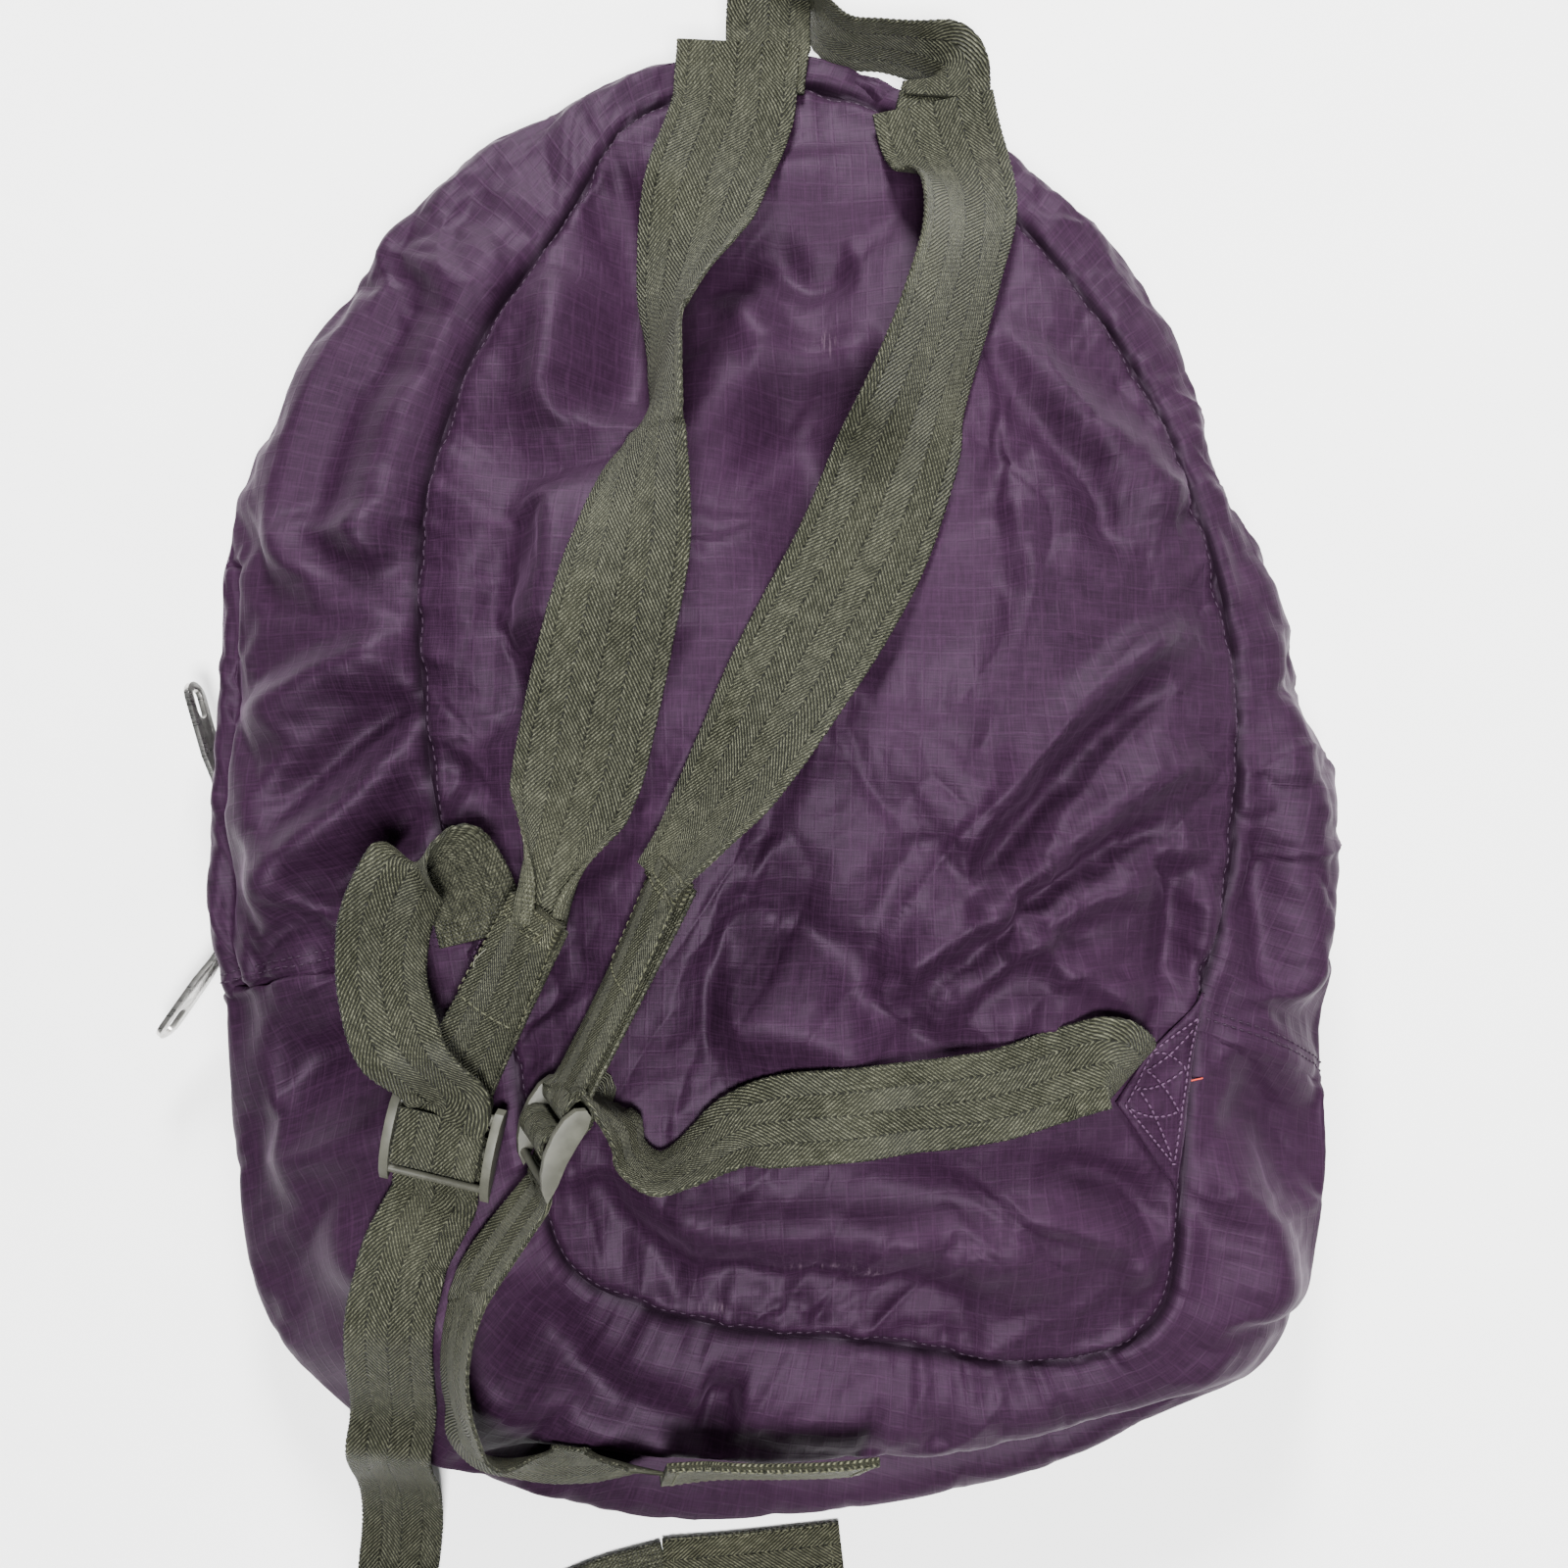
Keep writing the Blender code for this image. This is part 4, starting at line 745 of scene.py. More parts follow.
LEFT_STRAP = (
    (-0.0140, 0.2110, 0, 0.005), (-0.0144, 0.2060, 0, 0.004), (-0.0153, 0.1960, 0, 0.002),
    (-0.0226, 0.1710, 12, 0.0), (-0.0275, 0.1500, 40, 0.0), (-0.0324, 0.1276, 70, 0.0),
    (-0.0344, 0.1065, 74, 0.0), (-0.0394, 0.0843, 44, 0.0), (-0.0425, 0.0630, 20, 0.0),
    (-0.0470, 0.0430, 8, 0.0), (-0.0505, 0.0270, 0, 0.0), (-0.0565, 0.0013, 0, 0.0),
    (-0.0624, -0.0188, -10, 0.0), (-0.0660, -0.0310, -20, 0.001), (-0.0675, -0.0385, -22, 0.001))
RIGHT_STRAP = (
    (0.0435, 0.2000, 0, 0.003), (0.0455, 0.1910, -3, 0.001), (0.0480, 0.1820, -12, 0.0),
    (0.0510, 0.1700, -30, 0.0), (0.0505, 0.1550, -44, 0.0), (0.0475, 0.1390, -46, 0.0),
    (0.0382, 0.1090, -40, 0.0), (0.0311, 0.0890, -18, 0.0), (0.0210, 0.0645, 0, 0.0),
    (0.0083, 0.0400, 14, 0.0), (-0.0091, 0.0080, 38, 0.0), (-0.0224, -0.0134, 52, 0.0),
    (-0.0325, -0.0265, 60, 0.0))
LEFT_WRAP = ((0.0090, 0.0054), (0.0030, 0.0051), (-0.0030, 0.0049), (-0.0058, 0.0045), (-0.0068, 0.0036),
             (-0.0056, 0.0028), (-0.0020, 0.0025), (0.0014, 0.0024), (0.0036, 0.0014), (0.0041, -0.0008),
             (0.0030, -0.0028), (0.0000, -0.0036), (-0.0050, -0.0037), (-0.0100, -0.0037),
             (-0.0140, -0.0040))
RIGHT_WRAP = ((0.0100, -0.0054), (0.0065, -0.0043), (0.0046, -0.0022), (0.0040, 0.0004), (0.0030, 0.0030),
              (0.0006, 0.0046), (-0.0022, 0.0040), (-0.0038, 0.0018), (-0.0046, -0.0010),
              (-0.0064, -0.0030), (-0.0100, -0.0037), (-0.0140, -0.0042))
LOOP_TOP = ((0.0120, 0.0026), (0.0098, 0.0029), (0.0078, 0.0021), (0.0069, 0.0000), (0.0078, -0.0021),
            (0.0098, -0.0029), (0.0120, -0.0026))
LEFT_ADJUSTER = (
    (-0.0838, -0.0430, 0.0655, 0.90, 0.35, 0.00), (-0.0860, -0.0340, 0.0690, 0.92, 0.35, 0.00),
    (-0.0887, -0.0253, 0.0745, 0.90, 0.40, 0.05), (-0.0930, -0.0190, 0.0805, 0.85, 0.50, 0.10),
    (-0.1000, -0.0225, 0.0850, 0.80, 0.60, 0.05), (-0.1065, -0.0330, 0.0830, 0.90, 0.42, 0.00),
    (-0.1100, -0.0450, 0.0785, 1.00, 0.10, 0.00), (-0.1100, -0.0585, 0.0765, 1.00, -0.05, 0.02),
    (-0.1045, -0.0735, 0.0780, 0.985, -0.16, 0.04))
RIGHT_LAID = (
    (0.0690, -0.0835, 0, 0.0), (0.0460, -0.0875, 0, 0.0), (0.0270, -0.0885, 0, 0.0),
    (0.0040, -0.0910, 12, 0.0), (-0.0127, -0.0945, 45, 0.0), (-0.0240, -0.1010, 66, 0.0),
    (-0.0340, -0.1050, 74, 0.0), (-0.0405, -0.1010, 76, 0.0), (-0.0430, -0.0930, 76, 0.0),
    (-0.0480, -0.0860, 74, 0.0))
RIGHT_RISE = (
    (0.0960, -0.0820, 0.0660, -0.62, -0.78, 0.02), (0.0945, -0.0795, 0.0710, -0.58, -0.80, 0.05),
    (0.0895, -0.0765, 0.0760, -0.42, -0.88, 0.16), (0.0815, -0.0785, 0.0750, -0.22, -0.96, 0.16),
    (0.0735, -0.0815, 0.0715, -0.08, -0.99, 0.10))
LEFT_TAIL = (
    (-0.1045, -0.1240, 0, 0.0005), (-0.1080, -0.1380, 0, 0.0), (-0.1105, -0.1520, 0, 0.0),
    (-0.1130, -0.1780, 0, 0.0), (-0.1150, -0.1900, 0, 0.006), (-0.1168, -0.2040, 0, 0.025),
    (-0.1182, -0.2200, 0, 0.008), (-0.1200, -0.2380, 0, 0.0), (-0.1210, -0.2500, 10, 0.0),
    (-0.1190, -0.2640, 60, 0.0), (-0.1080, -0.2740, 95, 0.0), (-0.0920, -0.2730, 140, 0.0),
    (-0.0750, -0.2640, 172, 0.0), (-0.0560, -0.2550, 180, 0.0), (-0.0370, -0.2496, 180, 0.0),
    (-0.0320, -0.2490, 180, 0.0))
RIGHT_TAIL = (
    (-0.0800, -0.1290, 60, 0.002), (-0.0850, -0.1370, 62, 0.001), (-0.0890, -0.1490, 64, 0.0),
    (-0.0905, -0.1620, 64, 0.0), (-0.0895, -0.1780, 60, 0.0), (-0.0865, -0.1920, 52, 0.0),
    (-0.0740, -0.2000, 46, 0.0), (-0.0600, -0.2010, 48, 0.0), (-0.0470, -0.1985, 56, 0.0),
    (-0.0340, -0.1955, 62, 0.0))
HAUL_LOOP = (
    (-0.0045, 0.2175, 0.0298, -1.00, 0.00, 0.00), (-0.0045, 0.2330, 0.0290, -1.00, 0.00, 0.10),
    (-0.0015, 0.2430, 0.0300, -0.75, 0.35, 0.55), (0.0050, 0.2440, 0.0310, -0.10, 0.35, 0.93),
    (0.0090, 0.2350, 0.0310, 0.20, 0.10, 0.97), (0.0115, 0.2270, 0.0300, 0.20, 0.20, 0.96),
    (0.0185, 0.2215, 0.0300, 0.10, 0.25, 0.96), (0.0290, 0.2205, 0.0300, 0.00, 0.25, 0.96),
    (0.0395, 0.2180, 0.0310, 0.20, 0.30, 0.93), (0.0475, 0.2135, 0.0335, 0.75, 0.20, 0.60),
    (0.0482, 0.2070, 0.0372, 1.00, 0.00, 0.10), (0.0478, 0.2020, 0.0392, 1.00, 0.00, 0.05))
LEFT_ROOT = ((-0.0065, 0.2050, 0.0350, -1, 0, 0), (-0.0058, 0.2120, 0.0325, -1, 0, 0),
             (-0.0048, 0.2200, 0.0293, -1, 0, 0))
RIGHT_ROOT = ((0.0472, 0.2050, 0.0362, 1, 0, 0.05), (0.0455, 0.1980, 0.0380, 1, 0, 0),
              (0.0440, 0.1890, 0.0402, 1, 0, 0))
LEFT_TAB = ((-0.0795, -0.0330), (-0.0895, -0.0480), (-0.0790, -0.0680), (-0.0765, -0.0400))
RIGHT_TAB = ((0.1035, -0.0755), (0.0930, -0.0895), (0.1120, -0.1160), (0.1190, -0.0590))
LEFT_HEM = ((-0.0370, -0.2496), (-0.0100, -0.2470), (0.0185, -0.2438))
RIGHT_HEM = ((-0.0340, -0.1955, 62, 0.0), (-0.0100, -0.1945, 66, 0.0), (0.0240, -0.1930, 66, 0.0))
# Worn places of the cloth: middle x, y, then half width and half height
SCUFFS = ((0.012, 0.126, 0.0022, 0.004), (0.012, -0.137, 0.012, 0.0016), (0.024, -0.139, 0.004, 0.002),
          (-0.020, -0.150, 0.004, 0.0012))
MADE = {}


def keep(obj, body, slot, paint, *nodes):
    """Registers a finished piece: what it rides on, its material (the slot argument is not used) and the
    solids it stands for.
    """
    obj.data.materials.clear()
    obj.data.materials.append(paint)
    if body:
        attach(obj, body)
    if nodes:
        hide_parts(*nodes)
    MADE[obj.name] = obj


def at_lock(lock, y, z):
    return (*(lock @ Vector((0, y, z))), *lock.to_3x3().col[0])


def wrap_frames(lock, path):
    line = evenly([(0, y, z) for y, z in path], 0.0008)
    across = lock.to_3x3().col[0]
    return np.array([(*(lock @ Vector(point)), *across) for point in line])


def loop_frames(lock, hem, hem_across):
    """Webbing folded round the lock's bar, its two plies side by side back to the strap's end."""
    across = lock.to_3x3().col[0].copy()
    hem = Vector(hem)
    hem_across = Vector(hem_across).normalized()
    out = hem_across.cross(hem - lock.translation).normalized()
    start = lock @ Vector((0, 0.0180, 0.0014))
    finish = lock @ Vector((0, 0.0180, -0.0014))
    mean = (start + finish) / 2
    half = (hem + mean) / 2
    half_across = (across + hem_across).normalized()
    path = [(hem + out * 0.0026, hem_across), (half + out * 0.0012, half_across), (start, across)]
    path += [(lock @ Vector((0, y, z)), across) for y, z in LOOP_TOP]
    path += [(finish, across), (half - out * 0.0012, half_across), (hem - out * 0.0012, hem_across)]
    return free([(*point, *side) for point, side in path], WEB, 0.0025)


def snapped(line, lift_by=0.0004):
    out = []
    for point in line:
        spot, normal, _, _ = SKIN[0].find_nearest(Vector(point))
        if normal.z < -0.2:
            normal = -normal
        out.append(tuple(spot + normal * lift_by))
    return np.array(out)


def make_tab(name, corners):
    a, b, c, d = (np.array(corner) for corner in corners)
    steps = 26
    t, u = np.meshgrid(np.linspace(0, 1, steps), np.linspace(0, 1, steps), indexing="ij")
    near = a + (d - a) * t[..., None]
    far = b + (c - b) * t[..., None]
    flat = near + (far - near) * u[..., None]
    height = np.array([ground(x, y) for x, y in flat.reshape(-1, 2)]).reshape(steps, steps)
    for _ in range(2):
        inner = height[1:-1, 1:-1] * 2 + height[:-2, 1:-1] + height[2:, 1:-1]
        height[1:-1, 1:-1] = (inner + height[1:-1, :-2] + height[1:-1, 2:]) / 6
    edge = np.minimum(np.minimum(t, 1 - t), np.minimum(u, 1 - u))
    puff = 0.0007 * ease(edge / 0.08) - 0.0006 * np.exp(-((edge - 0.11) / 0.02) ** 2)
    height = height + 0.0010 + puff + noise(flat[..., 0], flat[..., 1], 0.004, 9) * 0.0004
    points = np.concatenate([flat, height[..., None]], axis=-1).reshape(-1, 3)
    mesh = mesh_from(name, points, grid_faces(steps, steps))
    if normals(mesh)[:, 2].mean() < 0:
        mesh.flip_normals()
    set_uv(mesh, flat.reshape(-1, 2) + 1.0)
    for label, value in (("seam_d", 0.5), ("scuff", 0.0)):
        set_attribute(mesh, label, np.full(len(points), value))
    tab = add(name, mesh)
    thick = tab.modifiers.new("ply", "SOLIDIFY")
    thick.thickness = 0.0009
    thick.offset = -1
    applied(tab)
    return tab, points.reshape(steps, steps, 3)


def stitches(name, lines, pitch=0.0028, length=0.0021, radius=0.00028):
    """Separate thread stitches along lines that already lie on the cloth."""
    turn = np.linspace(0, 2 * math.pi, 7)[:-1]
    ring = np.stack([np.zeros(6), np.cos(turn), np.sin(turn)], axis=1)
    blunt = ring * [1, 0.75, 0.75]
    base = np.vstack([[-0.5, 0, 0], blunt + [-0.34, 0, 0], ring, blunt + [0.34, 0, 0], [0.5, 0, 0]])
    shape = [[0, 1 + (k + 1) % 6, 1 + k] for k in range(6)]
    for row in (0, 1):
        low = 1 + 6 * row
        shape += [[low + k, low + (k + 1) % 6, low + 6 + (k + 1) % 6, low + 6 + k] for k in range(6)]
    shape += [[19, 13 + k, 13 + (k + 1) % 6] for k in range(6)]
    points, faces = [], []
    for line in lines:
        line = np.asarray(line)
        run = arc(line)
        count = int(run[-1] / pitch)
        if count < 1:
            continue
        mid = (np.arange(count) + 0.5) * run[-1] / count
        at = np.stack([np.interp(mid, run, line[:, k]) for k in range(3)], axis=1)
        ahead = np.stack([np.interp(mid + length / 3, run, line[:, k]) for k in range(3)], axis=1)
        back = np.stack([np.interp(mid - length / 3, run, line[:, k]) for k in range(3)], axis=1)
        x = unit(ahead - back)
        y = unit(np.cross(UP, x) + 1e-9)
        z = np.cross(x, y)
        for k in range(count):
            body = at[k] + base[:, :1] * x[k] * length + (base[:, 1:2] * y[k] + base[:, 2:3] * z[k]) * radius
            faces += [[len(points) * len(base) + n for n in face] for face in shape]
            points.append(body)
    return add(name, mesh_from(name, np.vstack(points), faces))


def refined(node, bevel):
    """A node's own shape with softened edges."""
    obj = NODES[node].copy()
    obj.data = NODES[node].data.copy()
    obj.name = node + "_fine"
    obj.parent = None
    bpy.context.scene.collection.objects.link(obj)
    for key in list(obj.keys()):
        del obj[key]
    built = bmesh.new()
    built.from_mesh(obj.data)
    bmesh.ops.remove_doubles(built, verts=built.verts, dist=2e-6)
    bmesh.ops.dissolve_limit(built, angle_limit=math.radians(1.0), verts=built.verts, edges=built.edges)
    built.to_mesh(obj.data)
    built.free()
    edge = obj.modifiers.new("edge", "BEVEL")
    edge.width = bevel
    edge.segments = 3
    edge.limit_method = "ANGLE"
    edge.angle_limit = math.radians(32)
    edge.harden_normals = False
    applied(obj)
    obj.data.shade_smooth()
    return obj


# ---- Materials ----

class Graph:
    """A short way to write shader nodes."""

    def __init__(self, name, **settings):
        self.material = bpy.data.materials.new(name)
        self.material.use_nodes = True
        self.tree = self.material.node_tree
        self.shader = self.tree.nodes["Principled BSDF"]
        for key, value in settings.items():
            self.shader.inputs[key.replace("_", " ")].default_value = value

    def node(self, kind, **settings):
        made = self.tree.nodes.new("ShaderNode" + kind)
        for key, value in settings.items():
            setattr(made, key, value)
        return made

    def link(self, source, target):
        self.tree.links.new(source, target)

    def place(self):
        return self.node("TexCoord").outputs["Object"]

    def cloth(self):
        """The cloth's own coordinates, and their two parts."""
        uv = self.node("UVMap", uv_map="cloth").outputs[0]
        split = self.node("SeparateXYZ")
        self.link(uv, split.inputs[0])
        return uv, split.outputs[0], split.outputs[1]

    def carried(self, name):
        """A value that the mesh carries at its points."""
        return self.node("Attribute", attribute_name=name).outputs["Fac"]

    def feed(self, socket, value):
        if isinstance(value, (int, float, tuple)):
            socket.default_value = value
        else:
            self.link(value, socket)

    def math(self, op, a, b=0.0, c=0.0):
        made = self.node("Math", operation=op)
        for socket, value in zip(made.inputs, (a, b, c)):
            self.feed(socket, value)
        return made.outputs[0]

    def add(self, a, b):
        return self.math("ADD", a, b)

    def times(self, a, b):
        return self.math("MULTIPLY", a, b)

    def wave(self, value, pitch):
        """A sine between 0 and 1."""
        turn = self.math("SINE", self.times(value, 2 * math.pi / pitch))
        return self.math("MULTIPLY_ADD", turn, 0.5, 0.5)

    def noise(self, vector, scale, detail=4.0, rough=0.55, distortion=0.0):
        made = self.node("TexNoise", noise_type="FBM")
        self.link(vector, made.inputs["Vector"])
        made.inputs["Scale"].default_value = scale
        made.inputs["Detail"].default_value = detail
        made.inputs["Roughness"].default_value = rough
        made.inputs["Distortion"].default_value = distortion
        return made.outputs[0]

    def stretch(self, vector, scale):
        made = self.node("Mapping")
        self.link(vector, made.inputs["Vector"])
        made.inputs["Scale"].default_value = scale
        return made.outputs[0]

    def spread(self, value, low, high, out_low=0.0, out_high=1.0):
        made = self.node("MapRange", clamp=True)
        for socket, number in zip(made.inputs, (value, low, high, out_low, out_high)):
            self.feed(socket, number)
        return made.outputs[0]

    def mix(self, share, a, b):
        made = self.node("Mix", data_type="RGBA")
        self.feed(made.inputs[0], share)
        for socket, colour in ((made.inputs[6], a), (made.inputs[7], b)):
            self.feed(socket, (*colour, 1.0) if isinstance(colour, tuple) else colour)
        return made.outputs[2]

    def bump(self, height, distance, strength=1.0, under=None):
        made = self.node("Bump")
        made.inputs["Distance"].default_value = distance
        made.inputs["Strength"].default_value = strength
        self.link(height, made.inputs["Height"])
        if under is not None:
            self.link(under, made.inputs["Normal"])
        return made.outputs[0]

    def paint(self, colour=None, roughness=None, normal=None):
        for name, value in (("Base Color", colour), ("Roughness", roughness), ("Normal", normal)):
            if value is not None:
                self.link(value, self.shader.inputs[name])
        return self.material


def ripstop(name):
    """Thin plum nylon with a grid of thicker threads, with painted shade along its seam grooves and in the
    slit under the bottom fold.
    """
    g = Graph(name, Sheen_Weight=0.05, Sheen_Roughness=0.4, Specular_IOR_Level=0.14)
    g.shader.inputs["Sheen Tint"].default_value = (0.55, 0.30, 0.55, 1.0)
    g.shader.inputs["Specular Tint"].default_value = (0.86, 0.66, 0.88, 1.0)
    place = g.place()
    uv, u, v = g.cloth()

    def thread(value):
        part = g.math("ABSOLUTE", g.math("SUBTRACT", g.math("FRACT", g.times(value, 1 / RIPSTOP_CELL)), 0.5))
        return g.spread(part, 0.40, 0.47)

    grid = g.math("MAXIMUM", thread(u), thread(v))
    warp = g.noise(g.stretch(uv, (2600, 160, 1)), 1.0, 2.0)
    weft = g.noise(g.stretch(uv, (160, 2600, 1)), 1.0, 2.0)
    weave = g.add(warp, weft)
    broad = g.noise(place, 9.0, 3.0)
    worn = g.noise(place, 42.0, 5.0, 0.6)
    colour = g.mix(g.spread(broad, 0.35, 0.68), (0.0064, 0.0021, 0.0064), (0.0116, 0.0039, 0.0112))
    colour = g.mix(g.times(grid, 0.10), colour, (0.040, 0.015, 0.038))
    colour = g.mix(g.times(g.spread(weave, 0.85, 1.25), 0.30), colour, (0.034, 0.012, 0.033))
    rub = g.times(g.spread(worn, 0.60, 0.80), 0.14)
    colour = g.mix(rub, colour, (0.062, 0.027, 0.059))
    streak = g.spread(g.noise(g.stretch(place, (900, 90, 90)), 1.0, 3.0), 0.52, 0.66)
    colour = g.mix(g.times(g.times(g.carried("scuff"), streak), 0.30), colour, (0.20, 0.14, 0.18))
    seam = g.carried("seam_d")
    # Painted shade: the cloth is darkened within a few millimetres of each seam, where the seam groove lies.
    painted_seam_shade = g.spread(seam, 0.0004, 0.0026, 0.85, 0.0)
    has_seam = g.spread(seam, -0.0001, 0.00001)
    colour = g.mix(g.times(painted_seam_shade, has_seam), colour, (0.0030, 0.0012, 0.0030))
    # Painted shade in the slit under the bottom fold, carried by the shade attribute.
    colour = g.mix(g.times(g.carried("shade"), 0.85), colour, (0.002, 0.0008, 0.002))
    rough = g.spread(g.add(g.times(worn, 0.6), g.times(broad, 0.5)), 0.35, 0.75, 0.52, 0.64)
    crinkle = g.noise(g.stretch(place, (1.0, 0.6, 1.0)), 46.0, 3.0, 0.55, 1.1)
    fine = g.noise(place, 120.0, 4.0, 0.55, 0.9)
    first = g.bump(g.add(g.times(crinkle, 0.5), g.times(fine, 0.25)), 0.0011, 0.45)
    second = g.bump(g.add(g.times(grid, 0.45), g.times(weave, 0.5)), 0.00012, 0.7, first)
    return g.paint(colour, rough, second)


def woven(name, column, plain_back=True, tint=(1.0, 1.0, 1.0)):
    """Herringbone webbing: slanted ribs that turn over at every column, with dots along the turns; the
    grooves between the ribs and the dot pits carry painted shade.
    """
    g = Graph(name, Sheen_Weight=0.02, Sheen_Roughness=0.5, Specular_IOR_Level=0.20)
    g.shader.inputs["Sheen Tint"].default_value = (0.80, 0.82, 0.66, 1.0)
    place = g.place()
    uv, u, v = g.cloth()
    fold = g.math("PINGPONG", g.add(u, 8 * column), column)
    slanted = g.math("MULTIPLY_ADD", fold, 1.30, v)
    rib = g.wave(slanted, 0.00142)
    ends = g.wave(u, 0.00072)
    near_turn = g.math("MINIMUM", fold, g.math("SUBTRACT", column, fold))
    turn = g.spread(near_turn, 0.0, 0.00042, 1.0, 0.0)
    dots = g.times(turn, g.spread(g.wave(v, 0.0025), 0.45, 0.75))
    height = g.times(rib, g.math("MULTIPLY_ADD", ends, 0.35, 0.65))
    height = g.math("SUBTRACT", height, g.times(dots, 0.8))
    plain = g.math("MULTIPLY_ADD", g.times(g.wave(u, 0.00095), g.wave(v, 0.00110)), 0.72, 0.22)
    back = g.math("GREATER_THAN", u, 0.024) if plain_back else 0.0
    height = g.add(g.times(height, g.math("SUBTRACT", 1.0, back)), g.times(plain, back))
    broad = g.noise(place, 30.0, 4.0)
    thread = g.noise(g.stretch(uv, (1400, 240, 1)), 1.0, 3.0)
    soil = g.noise(place, 90.0, 5.0, 0.65)
    base = tuple(a * b for a, b in zip((0.040, 0.0415, 0.0245), tint))
    pale = tuple(a * b for a, b in zip((0.172, 0.174, 0.116), tint))
    groove_shade_and_soil = tuple(a * b for a, b in zip((0.0042, 0.0044, 0.0021), tint))
    # Painted shade: the low places between the ribs get the dark colour, which further down also serves as
    # the soil colour.
    colour = g.mix(g.spread(height, 0.22, 0.72), groove_shade_and_soil, base)
    colour = g.mix(g.times(g.times(g.spread(thread, 0.42, 0.72), rib), 0.62), colour, pale)
    # Painted shade in the dot pits along the turns.
    colour = g.mix(g.times(dots, 0.92), colour, tuple(a * 0.6 for a in groove_shade_and_soil))
    colour = g.mix(g.times(g.spread(broad, 0.50, 0.75), 0.14), colour, pale)
    colour = g.mix(g.times(g.spread(soil, 0.58, 0.78), 0.14), colour, groove_shade_and_soil)
    rough = g.spread(thread, 0.3, 0.7, 0.52, 0.72)
    normal = g.bump(height, 0.00115, 1.0)
    normal = g.bump(g.noise(g.stretch(uv, (2600, 900, 1)), 1.0, 2.0), 0.00012, 0.6, normal)
    return g.paint(colour, rough, normal)


def tape_cloth(name):
    g = Graph(name, Sheen_Weight=0.15, Sheen_Roughness=0.5)
    _, u, v = g.cloth()
    weave = g.times(g.wave(u, 0.0009), g.wave(v, 0.0009))
    faded = g.add(g.times(weave, 0.6), g.times(g.noise(g.place(), 60.0), 0.3))
    colour = g.mix(faded, (0.018, 0.009, 0.019), (0.052, 0.026, 0.054))
    return g.paint(colour, g.spread(weave, 0, 1, 0.6, 0.78), g.bump(weave, 0.0002, 0.8))


def nylon(name, colour):
    g = Graph(name, Specular_IOR_Level=0.5)
    grain = g.noise(g.place(), 400.0, 4.0)
    mixed = g.mix(g.spread(grain, 0.3, 0.7), tuple(c * 0.8 for c in colour), tuple(c * 1.25 for c in colour))
    return g.paint(mixed, g.spread(grain, 0.3, 0.7, 0.34, 0.5), g.bump(grain, 0.00005, 0.4))


def moulded(name):
    g = Graph(name, Specular_IOR_Level=0.24)
    place = g.place()
    grain = g.noise(place, 900.0, 3.0)
    wear = g.noise(place, 160.0, 5.0, 0.6)
    colour = g.mix(g.spread(wear, 0.40, 0.72), (0.036, 0.036, 0.028), (0.056, 0.056, 0.044))
    edge = g.spread(g.node("NewGeometry").outputs["Pointiness"], 0.52, 0.62)
    colour = g.mix(g.times(edge, 0.45), colour, (0.090, 0.090, 0.072))
    rough = g.spread(wear, 0.3, 0.7, 0.40, 0.56)
    return g.paint(colour, rough, g.bump(g.add(g.times(grain, 0.5), wear), 0.00008, 0.5))


def nickel(name):
    g = Graph(name, Metallic=1.0)
    place = g.place()
    scratch = g.noise(g.stretch(place, (260, 2400, 1400)), 1.0, 3.0)
    cloud = g.noise(place, 210.0, 5.0, 0.6)
    edge = g.spread(g.node("NewGeometry").outputs["Pointiness"], 0.51, 0.60)
    colour = g.mix(g.spread(cloud, 0.45, 0.72), (0.50, 0.49, 0.47), (0.30, 0.29, 0.27))
    colour = g.mix(g.times(edge, 0.6), colour, (0.62, 0.61, 0.59))
    rough = g.spread(g.add(g.times(scratch, 0.5), g.times(cloud, 0.5)), 0.35, 0.65, 0.22, 0.42)
    return g.paint(colour, rough, g.bump(g.add(scratch, g.times(cloud, 0.6)), 0.00005, 0.55))


def thread_paint(name, colour):
    g = Graph(name, Specular_IOR_Level=0.2)
    twist = g.noise(g.place(), 2600.0, 2.0)
    mixed = g.mix(twist, tuple(c * 0.6 for c in colour), tuple(c * 1.5 for c in colour))
    g.shader.inputs["Roughness"].default_value = 0.6
    return g.paint(mixed, None, g.bump(twist, 0.00006, 0.6))


def sheet_paint(name):
    g = Graph(name, Roughness=0.9, Specular_IOR_Level=0.2)
    place = g.place()
    soft = g.noise(place, 5.0, 4.0)
    weave = g.noise(place, 900.0, 2.0)
    colour = g.mix(g.spread(soft, 0.3, 0.7), (0.89, 0.89, 0.885), (0.93, 0.93, 0.925))
    return g.paint(colour, None, g.bump(g.add(g.times(soft, 12.0), g.times(weave, 0.1)), 0.0012, 0.35))


PLUM = ripstop("ripstop_plum")
HERRING = woven("herringbone_strap", 0.0072)
HERRING_NARROW = woven("herringbone_web", 0.00625)
HEM_CLOTH = woven("folded_hem", 0.00625, False, (1.22, 1.20, 1.15))
TAPE_PAINT = tape_cloth("zip_tape_cloth")
COIL_PAINT = nylon("zip_coil_nylon", (0.030, 0.018, 0.032))
PLASTIC = moulded("buckle_plastic")
METAL = nickel("nickel_plate")
PLUM_THREAD = thread_paint("plum_thread", (0.016, 0.006, 0.016))
TAB_THREAD = thread_paint("tab_thread_nylon", (0.050, 0.024, 0.050))
OLIVE_THREAD = thread_paint("olive_thread", (0.046, 0.047, 0.028))
PALE_THREAD = thread_paint("pale_thread", (0.13, 0.13, 0.10))
RED_THREAD = thread_paint("red_thread", (0.36, 0.035, 0.02))
FLOOR_PAINT = sheet_paint("white_sheet")


# ---- Build ----

